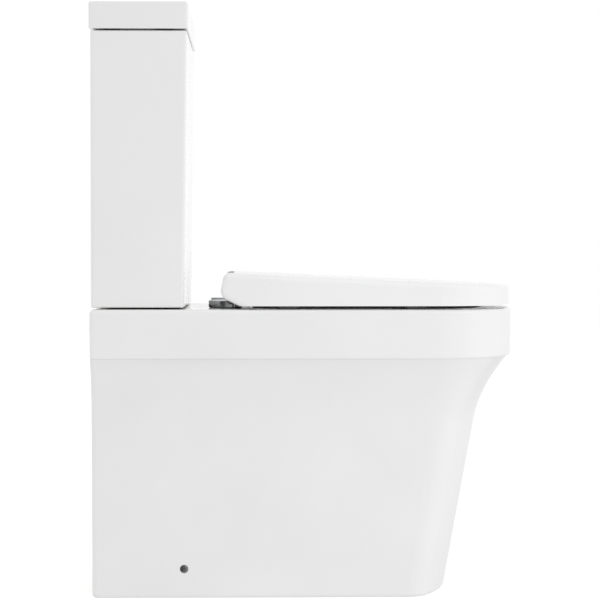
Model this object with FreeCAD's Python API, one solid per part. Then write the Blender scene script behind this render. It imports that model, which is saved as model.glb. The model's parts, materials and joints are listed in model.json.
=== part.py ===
import FreeCAD, Part
import math
import os

# A close-coupled toilet: a shrouded back-to-wall pan, a slim cistern with a dual flush, and a
# wrap-over seat on chrome hinges. Sizes are in millimetres. X runs across, the user sits facing
# -Y, the wall is at +Y and Z is up. The origin is on the floor under the middle of the outline.

V = FreeCAD.Vector

# Overall
PROJECTION = 610.0            # wall to the front of the rim
PAN_WIDTH = 360.0
PAN_HEIGHT = 412.0            # floor to deck

# Pan outside: rim band, cove below it and the skirt that leans back to the foot
RIM_CORNER_R = 100.0
RIM_FRONT_R = 300.0
RIM_BACK_R = 8.0
BAND_HEIGHT = 70.0
BAND_TOP_ROUND = 6.0
BAND_LOW_ROUND = 4.0
BAND_LEDGE = 0.6              # flat left under the band where the cove starts
COVE_HEIGHT = 92.0
COVE_SIDE_INSET = 34.0
COVE_FRONT_INSET = 53.0
COVE_LIP_SLOPE = 0.8          # inward run per unit of drop where the cove leaves the band
COVE_STEPS = 5
FOOT_SIDE_INSET = 44.0
FOOT_FRONT_INSET = 99.0
FOOT_CORNER_R = 36.0
FOOT_FRONT_R = 230.0
FOOT_ROUND = 6.0

# Pan inside
PAN_WALL = 11.0
DECK_THICK = 15.0
HOLLOW_BACK_R = 4.0
BACK_OPENING_WIDTH = 210.0
BACK_OPENING_HEIGHT = 300.0
RIM_LAND = 48.0               # width of the rim beside and in front of the bowl
RIM_INNER_ROUND = 7.0
BOWL_BACK_SETBACK = 230.0     # wall to the back of the bowl opening
BOWL_CORNER_R = 90.0
BOWL_FRONT_R = 230.0
BOWL_BACK_R = 45.0
BOWL_WALL = 10.0
BOWL_STEPS = 5
SUMP_FLOOR_HEIGHT = 60.0
SUMP_WIDTH = 84.0
SUMP_LENGTH = 78.0
SUMP_SETBACK = 303.0          # wall to the back of the sump
SUMP_CORNER_R = 34.0
SUMP_FRONT_R = 60.0

# Trap and soil outlet
TRAP_BORE_R = 34.0
TRAP_LIP = 2.0                # sump floor up to the bore of the trap
TRAP_WALL = 8.0
TRAP_BEND_R = 48.0
TRAP_RISE_ANGLE = 68.0
TRAP_DROP_ANGLE = 38.0
TRAP_CREST_RUN = 6.0
WEIR_HEIGHT = 180.0
OUTLET_HEIGHT = 180.0
OUTLET_SETBACK = 35.0         # wall to the end of the spigot
OUTLET_R = 51.0
OUTLET_BORE_R = 42.0
OUTLET_LENGTH = 45.0

# Flush way from the cistern into the bowl
RECESS_DEPTH = 24.0
INLET_R = 33.0
DUCT_WIDTH = 76.0
DUCT_HEIGHT = 38.0

# Cistern and its lid
CISTERN_GAP = 2.5             # shadow gap between deck and cistern
CISTERN_HEIGHT = 387.0
CISTERN_LID_WIDTH = 354.0
CISTERN_LID_DEPTH = 139.0
CISTERN_LID_HEIGHT = 38.0
CISTERN_LID_GAP = 2.5         # height of the pads under the lid
CISTERN_LID_OVERHANG = 2.0
CISTERN_SIDE_TAPER = 3.0
CISTERN_FRONT_TAPER = 4.5
CISTERN_WALL = 10.0
CISTERN_FLOOR = 12.0
CISTERN_FRONT_R = 4.5
CISTERN_BACK_R = 6.0
CISTERN_INNER_R = 8.0
CISTERN_LOW_ROUND = 2.5
CISTERN_TOP_ROUND = 2.0
LID_TOP_ROUND = 3.5
LID_LOW_ROUND = 2.0
LID_PLATE = 12.0
LID_LIP_DEPTH = 6.0
LID_LIP_THICK = 6.0
LID_LIP_GAP = 2.5
LID_PAD_LENGTH = 22.0
LID_PAD_WIDTH = 7.0
LID_PAD_INSET = 30.0
WALL_SCREW_SPACING = 180.0
WALL_SCREW_HOLE_R = 4.0
WALL_SCREW_DROP = 45.0        # below the top of the cistern

# Cistern bolts
GEAR_SETBACK = 67.0           # wall to the line of the valves
CISTERN_BOLT_SETBACK = 97.0
CISTERN_BOLT_SPACING = 164.0
CISTERN_BOLT_R = 4.0
CISTERN_BOLT_LENGTH = 82.0
BOLT_HEAD_R = 8.0
BOLT_HEAD_HEIGHT = 5.0
BOLT_HOLE_GAP = 2.0
BOLT_SEAL_R = 13.0
BOLT_SEAL_THICK = 7.0
BOLT_SEAL_PLUG = 4.0          # length of the seal inside the cistern's hole
BOLT_WASHER_R = 11.0
BOLT_WASHER_THICK = 1.5
DECK_WASHER_THICK = 4.0
WING_NUT_R = 8.0
WING_NUT_TIP_R = 6.4
WING_NUT_HEIGHT = 10.0
WING_SPAN = 17.0
WING_THICK = 3.0
WING_ROUND = 3.3
THREAD_GAP = 0.05             # radial gap of a screw in its nut

# Flush valve
VALVE_TAIL_R = 31.0
VALVE_BORE_R = 26.0
VALVE_TAIL_DROP = 20.0
VALVE_FLANGE_R = 42.0
VALVE_FLANGE_THICK = 6.0
VALVE_SEAT_HEIGHT = 7.0
VALVE_HOLE_GAP = 1.5
SEAL_WASHER_THICK = 3.0
VALVE_NUT_R = 39.0
VALVE_NUT_HEIGHT = 11.0
NUT_LOBES = 8
NUT_LOBE_R = 4.0
GASKET_LIP = 1.0              # gap between the gasket and the nut inside it
GASKET_WALL = 11.5
GASKET_SIDE_GAP = 0.5
TOWER_HEIGHT = 216.0
TOWER_LEGS = 4
TOWER_LEG_R = 3.5
TOWER_LEG_CIRCLE_R = 37.0
TOWER_GUIDE_HEIGHT = 120.0
TOWER_GUIDE_THICK = 8.0
TOWER_WINDOW_R = 8.0
HEAD_R = 41.0
HEAD_HEIGHT = 48.0
HEAD_SKIRT_HEIGHT = 16.0
HEAD_WAIST_R = 33.0
OVERFLOW_R = 14.0
OVERFLOW_WALL = 2.0
OVERFLOW_FLANGE_R = 29.0
OVERFLOW_FLANGE_THICK = 3.0
VALVE_SEAL_R = 31.5
VALVE_SEAL_THICK = 4.0
FLUSH_LIFT = 15.0
RUN_GAP = 0.3                 # gap between a moving piece and what it rests beside
SLIDE_GAP = 0.6               # radial gap of a sliding tube or rod

# Fill valve
FILL_WALL_GAP = 14.0          # float to the cistern's end wall
FILL_SHANK_R = 10.48          # half inch pipe thread
FILL_NECK_R = 11.6            # shank inside the nut and the cistern floor
FILL_NECK_SPARE = 2.0         # neck showing under the nut
FILL_SHANK_DROP = 44.0
FILL_SHANK_BORE_R = 6.0
FILL_HOLE_GAP = 1.0
FILL_FLANGE_R = 19.0
FILL_FLANGE_THICK = 4.0
FILL_NUT_FLATS = 36.0
FILL_NUT_HEIGHT = 8.0
FILL_DECK_HOLE_R = 24.0
FILL_COLUMN_R = 13.0
FILL_HEAD_R = 20.0
FILL_HEAD_HEIGHT = 26.0
FILL_HEAD_ROUND = 3.0
FLOAT_R = 26.0
FLOAT_HEIGHT = 70.0
FLOAT_LIFT = 12.0
FLOAT_HEAD_GAP = 15.7         # raised float to the underside of the head
FLOAT_BASE_HEIGHT = 158.0     # flange to the stop under the float
FLOAT_STOP_R = 16.0
FLOAT_STOP_THICK = 5.0
FLOAT_LUG_THICK = 6.0
FLOAT_LUG_WIDTH = 10.0
FLOAT_ROD_R = 2.0
FLOAT_ROD_REACH = 33.0
FLOAT_COLLAR_R = 3.6
FLOAT_COLLAR_THICK = 3.0
LEVER_PIVOT_REACH = 14.0
LEVER_PIVOT_RISE = 6.0
LEVER_WIDTH = 10.0
LEVER_THICK = 4.0
LEVER_BOSS_R = 5.0
LEVER_FORK_GAP = 0.7
LEVER_END = 7.0
LEVER_COLLAR_GAP = 1.4
LEVER_PIN_R = 1.5
LEVER_EAR_THICK = 3.0
LEVER_EAR_GAP = 0.5

# Flush plate in the cistern lid
BEZEL_R = 26.0
BEZEL_RISE = 3.0
BEZEL_SLEEVE_R = 21.8
BEZEL_BORE_R = 19.6
BEZEL_DEPTH = 34.0
BEZEL_FLOOR = 3.0
BEZEL_HOLE_GAP = 0.7
BEZEL_NUT_R = 28.0
BEZEL_NUT_HEIGHT = 10.0
BUTTON_GAP = 0.5
BUTTON_SPLIT_X = -4.0
BUTTON_THICK = 8.0
BUTTON_RISE = 1.0             # button top above the bezel
BUTTON_ROUND = 1.2
BUTTON_TRAVEL = 6.0
FULL_ROD_X = 8.0
HALF_ROD_X = -12.0
PUSH_ROD_R = 3.0
PUSH_ROD_ENTRY = 8.0          # rod inside the valve head at rest
PUSH_ROD_SPARE = 6.0          # guide left under a pressed rod
SPRING_WIRE_R = 0.6
SPRING_COIL_R = 4.7
SPRING_TURNS = 6
SPRING_SPANS = 4              # pairs of tangent arcs in each turn

# Seat hinges
HINGE_SPACING = 155.0
HINGE_BOLT_SETBACK = 189.0    # wall to the seat bolts
HINGE_REACH = 20.0            # seat bolt forward to the hinge axis
HINGE_RISE = 26.0             # deck up to the hinge axis
DISC_R = 24.0
DISC_HEIGHT = 10.0
DISC_ROUND = 2.0
HINGE_GASKET_THICK = 1.0
HINGE_GASKET_INSET = 1.0
HINGE_BARREL_R = 11.0
HINGE_POST_WIDTH = 18.0
HINGE_NECK_BACK = 18.0
HINGE_NECK_FRONT = 3.0
HINGE_NECK_TOP = 3.0
HINGE_PIN_R = 5.0
HINGE_PIN_END = 1.0
PIN_GAP = 0.06
KNUCKLE_R = 10.5
KNUCKLE_LENGTH = 21.0
KNUCKLE_GAP = 1.2
DAMPER_R = 8.0
DAMPER_GAP = 0.05
STUD_R = 4.0
STUD_GRIP = 7.0
STUD_LENGTH = 68.0
STUD_HOLE_GAP = 3.0
STUD_WASHER_R = 12.0
STUD_WASHER_THICK = 4.0
STUD_WASHER_PLUG = 5.0        # length of the washer inside the deck hole
STUD_NUT_FLATS = 22.0
STUD_NUT_HEIGHT = 14.0

# Seat lid and seat ring
SEAT_INSET = 2.5              # lid edge behind the rim edge
SEAT_GAP = 4.6                # deck to the lower edge of the lid
LID_REAR_THICK = 46.4
LID_FRONT_THICK = 27.4
LID_SHELL = 4.5
LID_EDGE_ROUND = 8.0
LID_SWING_GAP = 1.0           # heel to the deck as the lid swings up
LID_HEEL_ROUND = 14.0
LID_HEEL_SLOPE = 26.0         # degrees, underside of the heel
LID_BACK_LEAN = 12.0          # degrees, back of the lid over the heel
LID_NOTCH_GAP = 4.0
LID_NOTCH_REACH = 8.0         # top of the lid behind the hinge axis, between the ears
LID_NOTCH_FRONT = 15.0
LID_NOTCH_TOP = 13.0
RING_LIFT = 6.0               # height of the buffers under the ring
RING_THICK = 18.0
RING_SIDE_GAP = 3.0
RING_BACK_GAP = 1.5           # back of the ring to the sweep of the lid's heel
RING_BACK_R = 30.0
RING_OVERHANG = 22.0          # ring past the edge of the bowl opening
RING_BACK_LAND = 40.0
RING_HOLE_CORNER_R = 78.0
RING_HOLE_FRONT_R = 190.0
RING_HOLE_BACK_R = 60.0
RING_ROUND = 7.0
RING_ARM_ROOT = 14.0          # hinge arm inside the back edge of the ring
RING_BUFFER_LENGTH = 30.0
RING_BUFFER_WIDTH = 10.0
RING_BUFFER_ROUND = 3.3
RING_BUFFER_INSET = 28.0
RING_BUFFER_FRONT = 150.0     # front buffers behind the front of the rim
RING_BUFFER_REAR = 330.0
LID_BUFFER_R = 5.0
LID_BUFFER_INSET = 34.0

# Side fixing to the floor
SIDE_HOLE_SETBACK = 131.0
SIDE_HOLE_HEIGHT = 42.0
SIDE_HOLE_R = 6.0
SIDE_CAP_GAP = 0.5
SIDE_CAP_THICK = 2.0
SIDE_CAP_RECESS = 0.8
SIDE_CAP_DOME = 0.8
SIDE_SCREW_R = 2.5
SIDE_SCREW_HEAD_R = 4.6
SIDE_SCREW_HEAD_THICK = 2.5
SIDE_SCREW_LENGTH = 34.0
SLEEVE_GAP = 0.1
BRACKET_LENGTH = 50.0
BRACKET_FOOT = 42.0
BRACKET_HEIGHT = 64.0
BRACKET_THICK = 6.0
BRACKET_GAP = 0.4
BRACKET_BOSS_R = 8.0
BRACKET_BOSS_LENGTH = 10.0
FLOOR_HOLE_R = 4.5

TINY = 0.01
PAST = 5.0                    # how far a cut runs past the face it opens

# Places worked out from the sizes
WALL_Y = PROJECTION / 2
FRONT_Y = -PROJECTION / 2
RIM_HALF = PAN_WIDTH / 2
DECK_Z = PAN_HEIGHT
DECK_LOW_Z = DECK_Z - DECK_THICK
BAND_Z = DECK_Z - BAND_HEIGHT
COVE_Z = BAND_Z - COVE_HEIGHT
COVE_TOP_INSET = BAND_LOW_ROUND + BAND_LEDGE
BOWL_HALF = RIM_HALF - RIM_LAND
BOWL_FRONT_Y = FRONT_Y + RIM_LAND
BOWL_BACK_Y = WALL_Y - BOWL_BACK_SETBACK
GEAR_Y = WALL_Y - GEAR_SETBACK

CISTERN_Z = DECK_Z + CISTERN_GAP
CISTERN_TOP_Z = CISTERN_Z + CISTERN_HEIGHT
CISTERN_FLOOR_Z = CISTERN_Z + CISTERN_FLOOR
CISTERN_HALF = CISTERN_LID_WIDTH / 2 - CISTERN_LID_OVERHANG
CISTERN_BACK_Y = WALL_Y - CISTERN_LID_OVERHANG
CISTERN_FRONT_Y = WALL_Y - CISTERN_LID_DEPTH + CISTERN_LID_OVERHANG
CISTERN_LID_Z = CISTERN_TOP_Z + CISTERN_LID_GAP
CISTERN_LID_TOP_Z = CISTERN_LID_Z + CISTERN_LID_HEIGHT

BOLT_X = CISTERN_BOLT_SPACING / 2
BOLT_Y = WALL_Y - CISTERN_BOLT_SETBACK
BOLT_WASHER_Z = CISTERN_FLOOR_Z + BOLT_SEAL_THICK
BOLT_HEAD_Z = BOLT_WASHER_Z + BOLT_WASHER_THICK
LOW_WASHER_Z = DECK_LOW_Z - DECK_WASHER_THICK
WING_NUT_Z = LOW_WASHER_Z - BOLT_WASHER_THICK

RECESS_Z = DECK_Z - RECESS_DEPTH
DUCT_TOP_Z = RECESS_Z - BOWL_WALL
GASKET_R = VALVE_NUT_R + GASKET_LIP + GASKET_WALL
RECESS_R = GASKET_R + GASKET_SIDE_GAP
GEAR_BASE_Z = CISTERN_FLOOR_Z + SEAL_WASHER_THICK
VALVE_FLANGE_Z = GEAR_BASE_Z + VALVE_FLANGE_THICK
VALVE_SEAT_Z = VALVE_FLANGE_Z + VALVE_SEAT_HEIGHT
HEAD_Z = VALVE_FLANGE_Z + TOWER_HEIGHT
HEAD_TOP_Z = HEAD_Z + HEAD_HEIGHT
VALVE_SEAL_Z = VALVE_SEAT_Z + RUN_GAP
OVERFLOW_Z = VALVE_SEAL_Z + VALVE_SEAL_THICK

FILL_X = CISTERN_HALF - CISTERN_SIDE_TAPER - CISTERN_WALL - FILL_WALL_GAP - FLOAT_R
FILL_FLANGE_Z = GEAR_BASE_Z + FILL_FLANGE_THICK
FLOAT_STOP_Z = FILL_FLANGE_Z + FLOAT_BASE_HEIGHT
FLOAT_Z = FLOAT_STOP_Z + RUN_GAP
FILL_HEAD_Z = FLOAT_Z + FLOAT_HEIGHT + FLOAT_LIFT + FLOAT_HEAD_GAP
FILL_HEAD_TOP_Z = FILL_HEAD_Z + FILL_HEAD_HEIGHT
FLOAT_ROD_Y = GEAR_Y - FLOAT_ROD_REACH
LEVER_Y = GEAR_Y + LEVER_PIVOT_REACH
LEVER_Z = FILL_HEAD_TOP_Z + LEVER_PIVOT_RISE

BEZEL_TOP_Z = CISTERN_LID_TOP_Z + BEZEL_RISE
BEZEL_LOW_Z = CISTERN_LID_TOP_Z - BEZEL_DEPTH
BUTTON_TOP_Z = BEZEL_TOP_Z + BUTTON_RISE
BUTTON_Z = BUTTON_TOP_Z - BUTTON_THICK
PUSH_ROD_Z = HEAD_TOP_Z - PUSH_ROD_ENTRY

HINGE_X = HINGE_SPACING / 2
HINGE_BOLT_Y = WALL_Y - HINGE_BOLT_SETBACK
HINGE_Y = HINGE_BOLT_Y - HINGE_REACH
HINGE_Z = DECK_Z + HINGE_RISE
DISC_Z = DECK_Z + HINGE_GASKET_THICK
DISC_TOP_Z = DISC_Z + DISC_HEIGHT
POST_INNER_X = HINGE_X - HINGE_POST_WIDTH / 2
POST_OUTER_X = HINGE_X + HINGE_POST_WIDTH / 2
RING_KNUCKLE_X = POST_INNER_X - KNUCKLE_GAP - KNUCKLE_LENGTH
LID_KNUCKLE_X = POST_OUTER_X + KNUCKLE_GAP
LID_NOTCH_HALF = LID_KNUCKLE_X + KNUCKLE_LENGTH + LID_NOTCH_GAP
STUD_NUT_TOP_Z = DECK_LOW_Z - STUD_WASHER_THICK

SEAT_FRONT_Y = FRONT_Y + SEAT_INSET
LID_LOW_Z = DECK_Z + SEAT_GAP
LID_REAR_Y = HINGE_Y + HINGE_RISE - LID_SWING_GAP
LID_HEEL_Y = LID_REAR_Y - LID_HEEL_ROUND
RING_LOW_Z = DECK_Z + RING_LIFT
RING_TOP_Z = RING_LOW_Z + RING_THICK
RING_INSET = SEAT_INSET + LID_SHELL + RING_SIDE_GAP

SIDE_HOLE_Y = WALL_Y - SIDE_HOLE_SETBACK
FOOT_HALF = RIM_HALF - FOOT_SIDE_INSET
BRACKET_FACE_X = FOOT_HALF - PAN_WALL - BRACKET_GAP


# Shared shapes

def line(start, end):
    return Part.LineSegment(start, end).toShape()


def arc(start, middle, end):
    return Part.Arc(start, middle, end).toShape()


def flip(point):
    return V(-point.x, point.y, point.z)


def closed_outline(right_side):
    """Close a right-hand run of edges, given as point lists from front to back, by mirroring it."""
    edges = []
    for run in right_side:
        edges.append(arc(*run) if len(run) == 3 else line(*run))
    edges.append(line(right_side[-1][-1], flip(right_side[-1][-1])))
    for run in reversed(right_side):
        back = [flip(point) for point in reversed(run)]
        edges.append(arc(*back) if len(back) == 3 else line(*back))
    return edges


def back_corner(half_width, back_y, back_r, z):
    """The side's last point, the middle of the rounded back corner, and its end on the back."""
    cut = back_r * (1 - math.sqrt(0.5))
    middle = V(half_width - cut, back_y - cut, z)
    return [V(half_width, back_y - back_r, z), middle, V(half_width - back_r, back_y, z)]


def d_wire(half_width, front_y, back_y, corner_r, front_r, back_r, z):
    """D-shaped outline: flat back, straight sides, and a bowed front joined by tangent arcs."""
    reach = front_r - corner_r
    across = half_width - corner_r
    bow_y = front_y + front_r
    corner_y = bow_y - math.sqrt(reach * reach - across * across)
    touch = V(across * front_r / reach, bow_y + (corner_y - bow_y) * front_r / reach, z)
    half_turn = math.atan2(touch.y - corner_y, touch.x - across) / 2
    middle = V(across + corner_r * math.cos(half_turn), corner_y + corner_r * math.sin(half_turn), z)
    side = V(half_width, corner_y, z)
    back = back_corner(half_width, back_y, back_r, z)
    edges = [arc(flip(touch), V(0, front_y, z), touch)]
    edges += closed_outline([[touch, middle, side], [side, back[0]], back])
    return Part.Wire(edges)


def box_wire(half_width, front_y, back_y, front_r, back_r, z):
    """Rectangle with its own corner radius at the front and at the back."""
    cut = front_r * (1 - math.sqrt(0.5))
    start = V(half_width - front_r, front_y, z)
    side = V(half_width, front_y + front_r, z)
    front = [start, V(half_width - cut, front_y + cut, z), side]
    back = back_corner(half_width, back_y, back_r, z)
    edges = [line(flip(start), start)]
    edges += closed_outline([front, [side, back[0]], back])
    return Part.Wire(edges)


def loft(wires, ruled=False):
    return Part.makeLoft(wires, True, ruled)


def prism(wire, height):
    return Part.Face(wire).extrude(V(0, 0, height))


def side_prism(edges, x_low, x_high):
    """Solid from a closed side profile drawn in the plane X = 0."""
    face = Part.Face(Part.Wire(edges))
    face.translate(V(x_low, 0, 0))
    return face.extrude(V(x_high - x_low, 0, 0))


def cylinder(radius, z_low, z_high, x=0.0, y=0.0):
    return Part.makeCylinder(radius, z_high - z_low, V(x, y, z_low))


def tube(outer_r, inner_r, z_low, z_high, x=0.0, y=0.0):
    bore = cylinder(inner_r, z_low, z_high, x, y)
    return cylinder(outer_r, z_low, z_high, x, y).cut(bore)


def cross_rod(radius, x_low, x_high, y, z):
    return Part.makeCylinder(radius, x_high - x_low, V(x_low, y, z), V(1, 0, 0))


def block(x_low, x_high, y_low, y_high, z_low, z_high):
    return Part.makeBox(x_high - x_low, y_high - y_low, z_high - z_low, V(x_low, y_low, z_low))


def turned(profile, x, y):
    """Solid of revolution about the upright axis at x, y, from (radius, height) points."""
    points = [V(radius, 0, height) for radius, height in profile]
    face = Part.Face(Part.makePolygon(points + points[:1]))
    solid = face.revolve(V(0, 0, 0), V(0, 0, 1), 360)
    solid.translate(V(x, y, 0))
    return solid


def hexagon(flats, z_low, z_high, x, y):
    corner_r = flats / math.sqrt(3)
    turns = [math.radians(60 * i) for i in range(7)]
    points = [V(x + corner_r * math.cos(a), y + corner_r * math.sin(a), z_low) for a in turns]
    return prism(Part.makePolygon(points), z_high - z_low)


def both_sides(shape):
    return Part.makeCompound([shape, shape.mirror(V(0, 0, 0), V(1, 0, 0))])


def level_edges(shape, z):
    """Edges that lie flat at one height."""
    found = []
    for edge in shape.Edges:
        heights = [vertex.Z for vertex in edge.Vertexes] + [edge.CenterOfMass.z]
        if all(abs(height - z) < TINY for height in heights):
            found.append(edge)
    return found


def round_level(shape, radius, *heights):
    for z in heights:
        shape = shape.makeFillet(radius, level_edges(shape, z))
    return shape


# Pan

def skirt_inset(z, at_cove, at_foot):
    """How far the skirt stands inside the rim: a straight lean, then the cove's curve."""
    if z <= COVE_Z:
        return at_foot + (at_cove - at_foot) * z / COVE_Z
    s = (BAND_Z - z) / COVE_HEIGHT
    lean = (at_foot - at_cove) / COVE_Z
    span = at_cove - COVE_TOP_INSET
    ease = s * s * (3 - 2 * s)
    start = s * (1 - s) * (1 - s) * COVE_LIP_SLOPE
    end = s * s * (s - 1) * lean
    return COVE_TOP_INSET + span * ease + COVE_HEIGHT * (start + end)


def skirt_wire(z, wall, back_r):
    side = skirt_inset(z, COVE_SIDE_INSET, FOOT_SIDE_INSET)
    front = skirt_inset(z, COVE_FRONT_INSET, FOOT_FRONT_INSET)
    share = side / FOOT_SIDE_INSET
    corner_r = RIM_CORNER_R + (FOOT_CORNER_R - RIM_CORNER_R) * share - wall
    front_r = RIM_FRONT_R + (FOOT_FRONT_R - RIM_FRONT_R) * share - wall
    half_width = RIM_HALF - side - wall
    return d_wire(half_width, FRONT_Y + front + wall, WALL_Y - wall, corner_r, front_r, back_r, z)


def cove(wall, back_r):
    levels = [COVE_Z + COVE_HEIGHT * i / COVE_STEPS for i in range(COVE_STEPS + 1)]
    return loft([skirt_wire(z, wall, back_r) for z in levels])


def pan_outside():
    rim = d_wire(RIM_HALF, FRONT_Y, WALL_Y, RIM_CORNER_R, RIM_FRONT_R, RIM_BACK_R, BAND_Z)
    band = prism(rim, BAND_HEIGHT)
    band = round_level(band, BAND_TOP_ROUND, DECK_Z)
    band = round_level(band, BAND_LOW_ROUND, BAND_Z)
    skirt = loft([skirt_wire(0, 0, RIM_BACK_R), skirt_wire(COVE_Z, 0, RIM_BACK_R)], True)
    skirt = round_level(skirt, FOOT_ROUND, 0)
    neck = prism(skirt_wire(BAND_Z, 0, RIM_BACK_R), 2 * BAND_LOW_ROUND)
    return band.fuse([neck, cove(0, RIM_BACK_R), skirt])


def pan_hollow():
    low = skirt_wire(-PAST, PAN_WALL, HOLLOW_BACK_R)
    skirt = loft([low, skirt_wire(COVE_Z, PAN_WALL, HOLLOW_BACK_R)], True)
    band = prism(skirt_wire(BAND_Z, PAN_WALL, HOLLOW_BACK_R), DECK_LOW_Z - BAND_Z)
    half = BACK_OPENING_WIDTH / 2
    back = block(-half, half, WALL_Y - PAN_WALL - PAST, WALL_Y + PAST, -PAST, BACK_OPENING_HEIGHT)
    return skirt.fuse([cove(PAN_WALL, HOLLOW_BACK_R), band, back])


def bowl(grow, top_z):
    """Bowl form: upright at the rim and easing in to the sump, grown by a wall for the outside."""
    low_z = SUMP_FLOOR_HEIGHT - grow
    sump_back_y = WALL_Y - SUMP_SETBACK
    sump_front_y = sump_back_y - SUMP_LENGTH
    wires = []
    for i in range(BOWL_STEPS + 1):
        share = i / BOWL_STEPS
        rim = math.cos(share * math.pi / 2)
        sump = 1 - rim
        half_width = BOWL_HALF * rim + SUMP_WIDTH / 2 * sump + grow
        front_y = BOWL_FRONT_Y * rim + sump_front_y * sump - grow
        back_y = BOWL_BACK_Y * rim + sump_back_y * sump + grow
        corner_r = BOWL_CORNER_R * rim + SUMP_CORNER_R * sump + grow
        front_r = BOWL_FRONT_R * rim + SUMP_FRONT_R * sump + grow
        back_r = BOWL_BACK_R * rim + SUMP_CORNER_R * sump + grow
        z = top_z + (low_z - top_z) * share
        wires.append(d_wire(half_width, front_y, back_y, corner_r, front_r, back_r, z))
    return loft(wires)


def trap_path():
    """Centre line of the trap, from the spigot's end forward over the weir and into the sump."""
    crest_z = WEIR_HEIGHT + TRAP_BORE_R
    low_z = SUMP_FLOOR_HEIGHT + TRAP_LIP + TRAP_BORE_R
    drop = math.radians(TRAP_DROP_ANGLE)
    rise = math.radians(TRAP_RISE_ANGLE)
    drop_run = (crest_z - OUTLET_HEIGHT - 2 * TRAP_BEND_R * (1 - math.cos(drop))) / math.sin(drop)
    rise_run = (crest_z - low_z - 2 * TRAP_BEND_R * (1 - math.cos(rise))) / math.sin(rise)
    here = V(0, WALL_Y - OUTLET_SETBACK, OUTLET_HEIGHT)
    heading = 0.0
    edges = []
    sump_y = WALL_Y - SUMP_SETBACK - SUMP_LENGTH / 2
    bends = [(OUTLET_LENGTH, drop), (drop_run, -drop), (TRAP_CREST_RUN, -rise), (rise_run, rise)]
    for run, turn in bends:
        ahead = here + V(0, -math.cos(heading), math.sin(heading)) * run
        edges.append(line(here, ahead))
        side = math.copysign(TRAP_BEND_R, turn)
        centre = ahead + V(0, math.sin(heading), math.cos(heading)) * side
        points = []
        for share in (0.5, 1.0):
            angle = heading + turn * share
            points.append(centre - V(0, math.sin(angle), math.cos(angle)) * side)
        edges.append(arc(ahead, points[0], points[1]))
        here = points[1]
        heading += turn
    edges.append(line(here, V(0, sump_y, here.z)))
    return Part.Wire(edges)


def trap_pipe(radius):
    start = V(0, WALL_Y - OUTLET_SETBACK, OUTLET_HEIGHT)
    section = Part.Wire(Part.makeCircle(radius, start, V(0, 1, 0)))
    return trap_path().makePipeShell([section], True, False)


def outlet_rod(radius, length, past):
    start = V(0, WALL_Y - OUTLET_SETBACK + past, OUTLET_HEIGHT)
    return Part.makeCylinder(radius, length + past, start, V(0, -1, 0))


def flush_way(grow):
    """Duct from under the cistern forward into the back of the bowl."""
    half = DUCT_WIDTH / 2 + grow
    front_y = BOWL_BACK_Y - RIM_INNER_ROUND - PAST
    back_y = GEAR_Y + INLET_R + grow
    low_z = DUCT_TOP_Z - DUCT_HEIGHT - grow
    return block(-half, half, front_y, back_y, low_z, DUCT_TOP_Z + grow)


def pan():
    """Shroud and deck, with the mouth of the bowl."""
    solid = pan_outside().cut([pan_hollow(), bowl(0, DECK_Z)])
    mouth = []
    for edge in level_edges(solid, DECK_Z):
        box = edge.BoundBox
        in_length = box.YMin > BOWL_FRONT_Y - PAST and box.YMax < BOWL_BACK_Y + PAST
        if in_length and box.XMax < BOWL_HALF + PAST:
            mouth.append(edge)
    solid = solid.makeFillet(RIM_INNER_ROUND, mouth)
    low_z = DECK_LOW_Z - PAST
    top_z = DECK_Z + PAST
    cuts = [
        cylinder(RECESS_R, low_z, top_z, 0, GEAR_Y),
        cylinder(FILL_DECK_HOLE_R, low_z, top_z, FILL_X, GEAR_Y),
    ]
    bolt_hole = cylinder(CISTERN_BOLT_R + BOLT_HOLE_GAP, low_z, top_z, BOLT_X, BOLT_Y)
    stud_hole = cylinder(STUD_R + STUD_HOLE_GAP, low_z, top_z, HINGE_X, HINGE_BOLT_Y)
    side_start = BRACKET_FACE_X - PAST
    side_hole = cross_rod(SIDE_HOLE_R, side_start, RIM_HALF, SIDE_HOLE_Y, SIDE_HOLE_HEIGHT)
    for hole in (bolt_hole, stud_hole, side_hole):
        cuts += both_sides(hole).Solids
    return solid.cut(cuts)


def pan_bowl():
    """Bowl and sump hung under the deck, open to the trap and the flush way."""
    outside = bowl(BOWL_WALL, DECK_LOW_Z)
    return outside.cut([bowl(0, DECK_Z), trap_pipe(TRAP_BORE_R), flush_way(0)])


def pan_trap():
    """Trap from the back of the sump over the weir to the flared spigot."""
    pipe = trap_pipe(TRAP_BORE_R + TRAP_WALL).fuse(outlet_rod(OUTLET_R, OUTLET_LENGTH, 0))
    flare_at = V(0, WALL_Y - OUTLET_SETBACK - OUTLET_LENGTH / 2, OUTLET_HEIGHT)
    flare_run = OUTLET_BORE_R - TRAP_BORE_R
    flare = Part.makeCone(OUTLET_BORE_R, TRAP_BORE_R, flare_run, flare_at, V(0, -1, 0))
    mouth = outlet_rod(OUTLET_BORE_R, OUTLET_LENGTH / 2, PAST)
    return pipe.cut([bowl(BOWL_WALL, DECK_LOW_Z), trap_pipe(TRAP_BORE_R), flare, mouth])


def pan_flush_way():
    """Recess for the cistern's gasket and the duct from it to the back of the bowl."""
    boss = cylinder(RECESS_R + BOWL_WALL, DUCT_TOP_Z, DECK_LOW_Z, 0, GEAR_Y)
    back_wall = block(-RIM_HALF, RIM_HALF, WALL_Y - PAN_WALL, WALL_Y, DUCT_TOP_Z, DECK_Z)
    return flush_way(BOWL_WALL).fuse(boss).cut([
        back_wall,
        bowl(BOWL_WALL, DECK_LOW_Z),
        flush_way(0),
        cylinder(RECESS_R, RECESS_Z, DECK_Z, 0, GEAR_Y),
        cylinder(INLET_R, DUCT_TOP_Z - DUCT_HEIGHT / 2, RECESS_Z, 0, GEAR_Y),
    ])


# Cistern, its lid and its bolts

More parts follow.
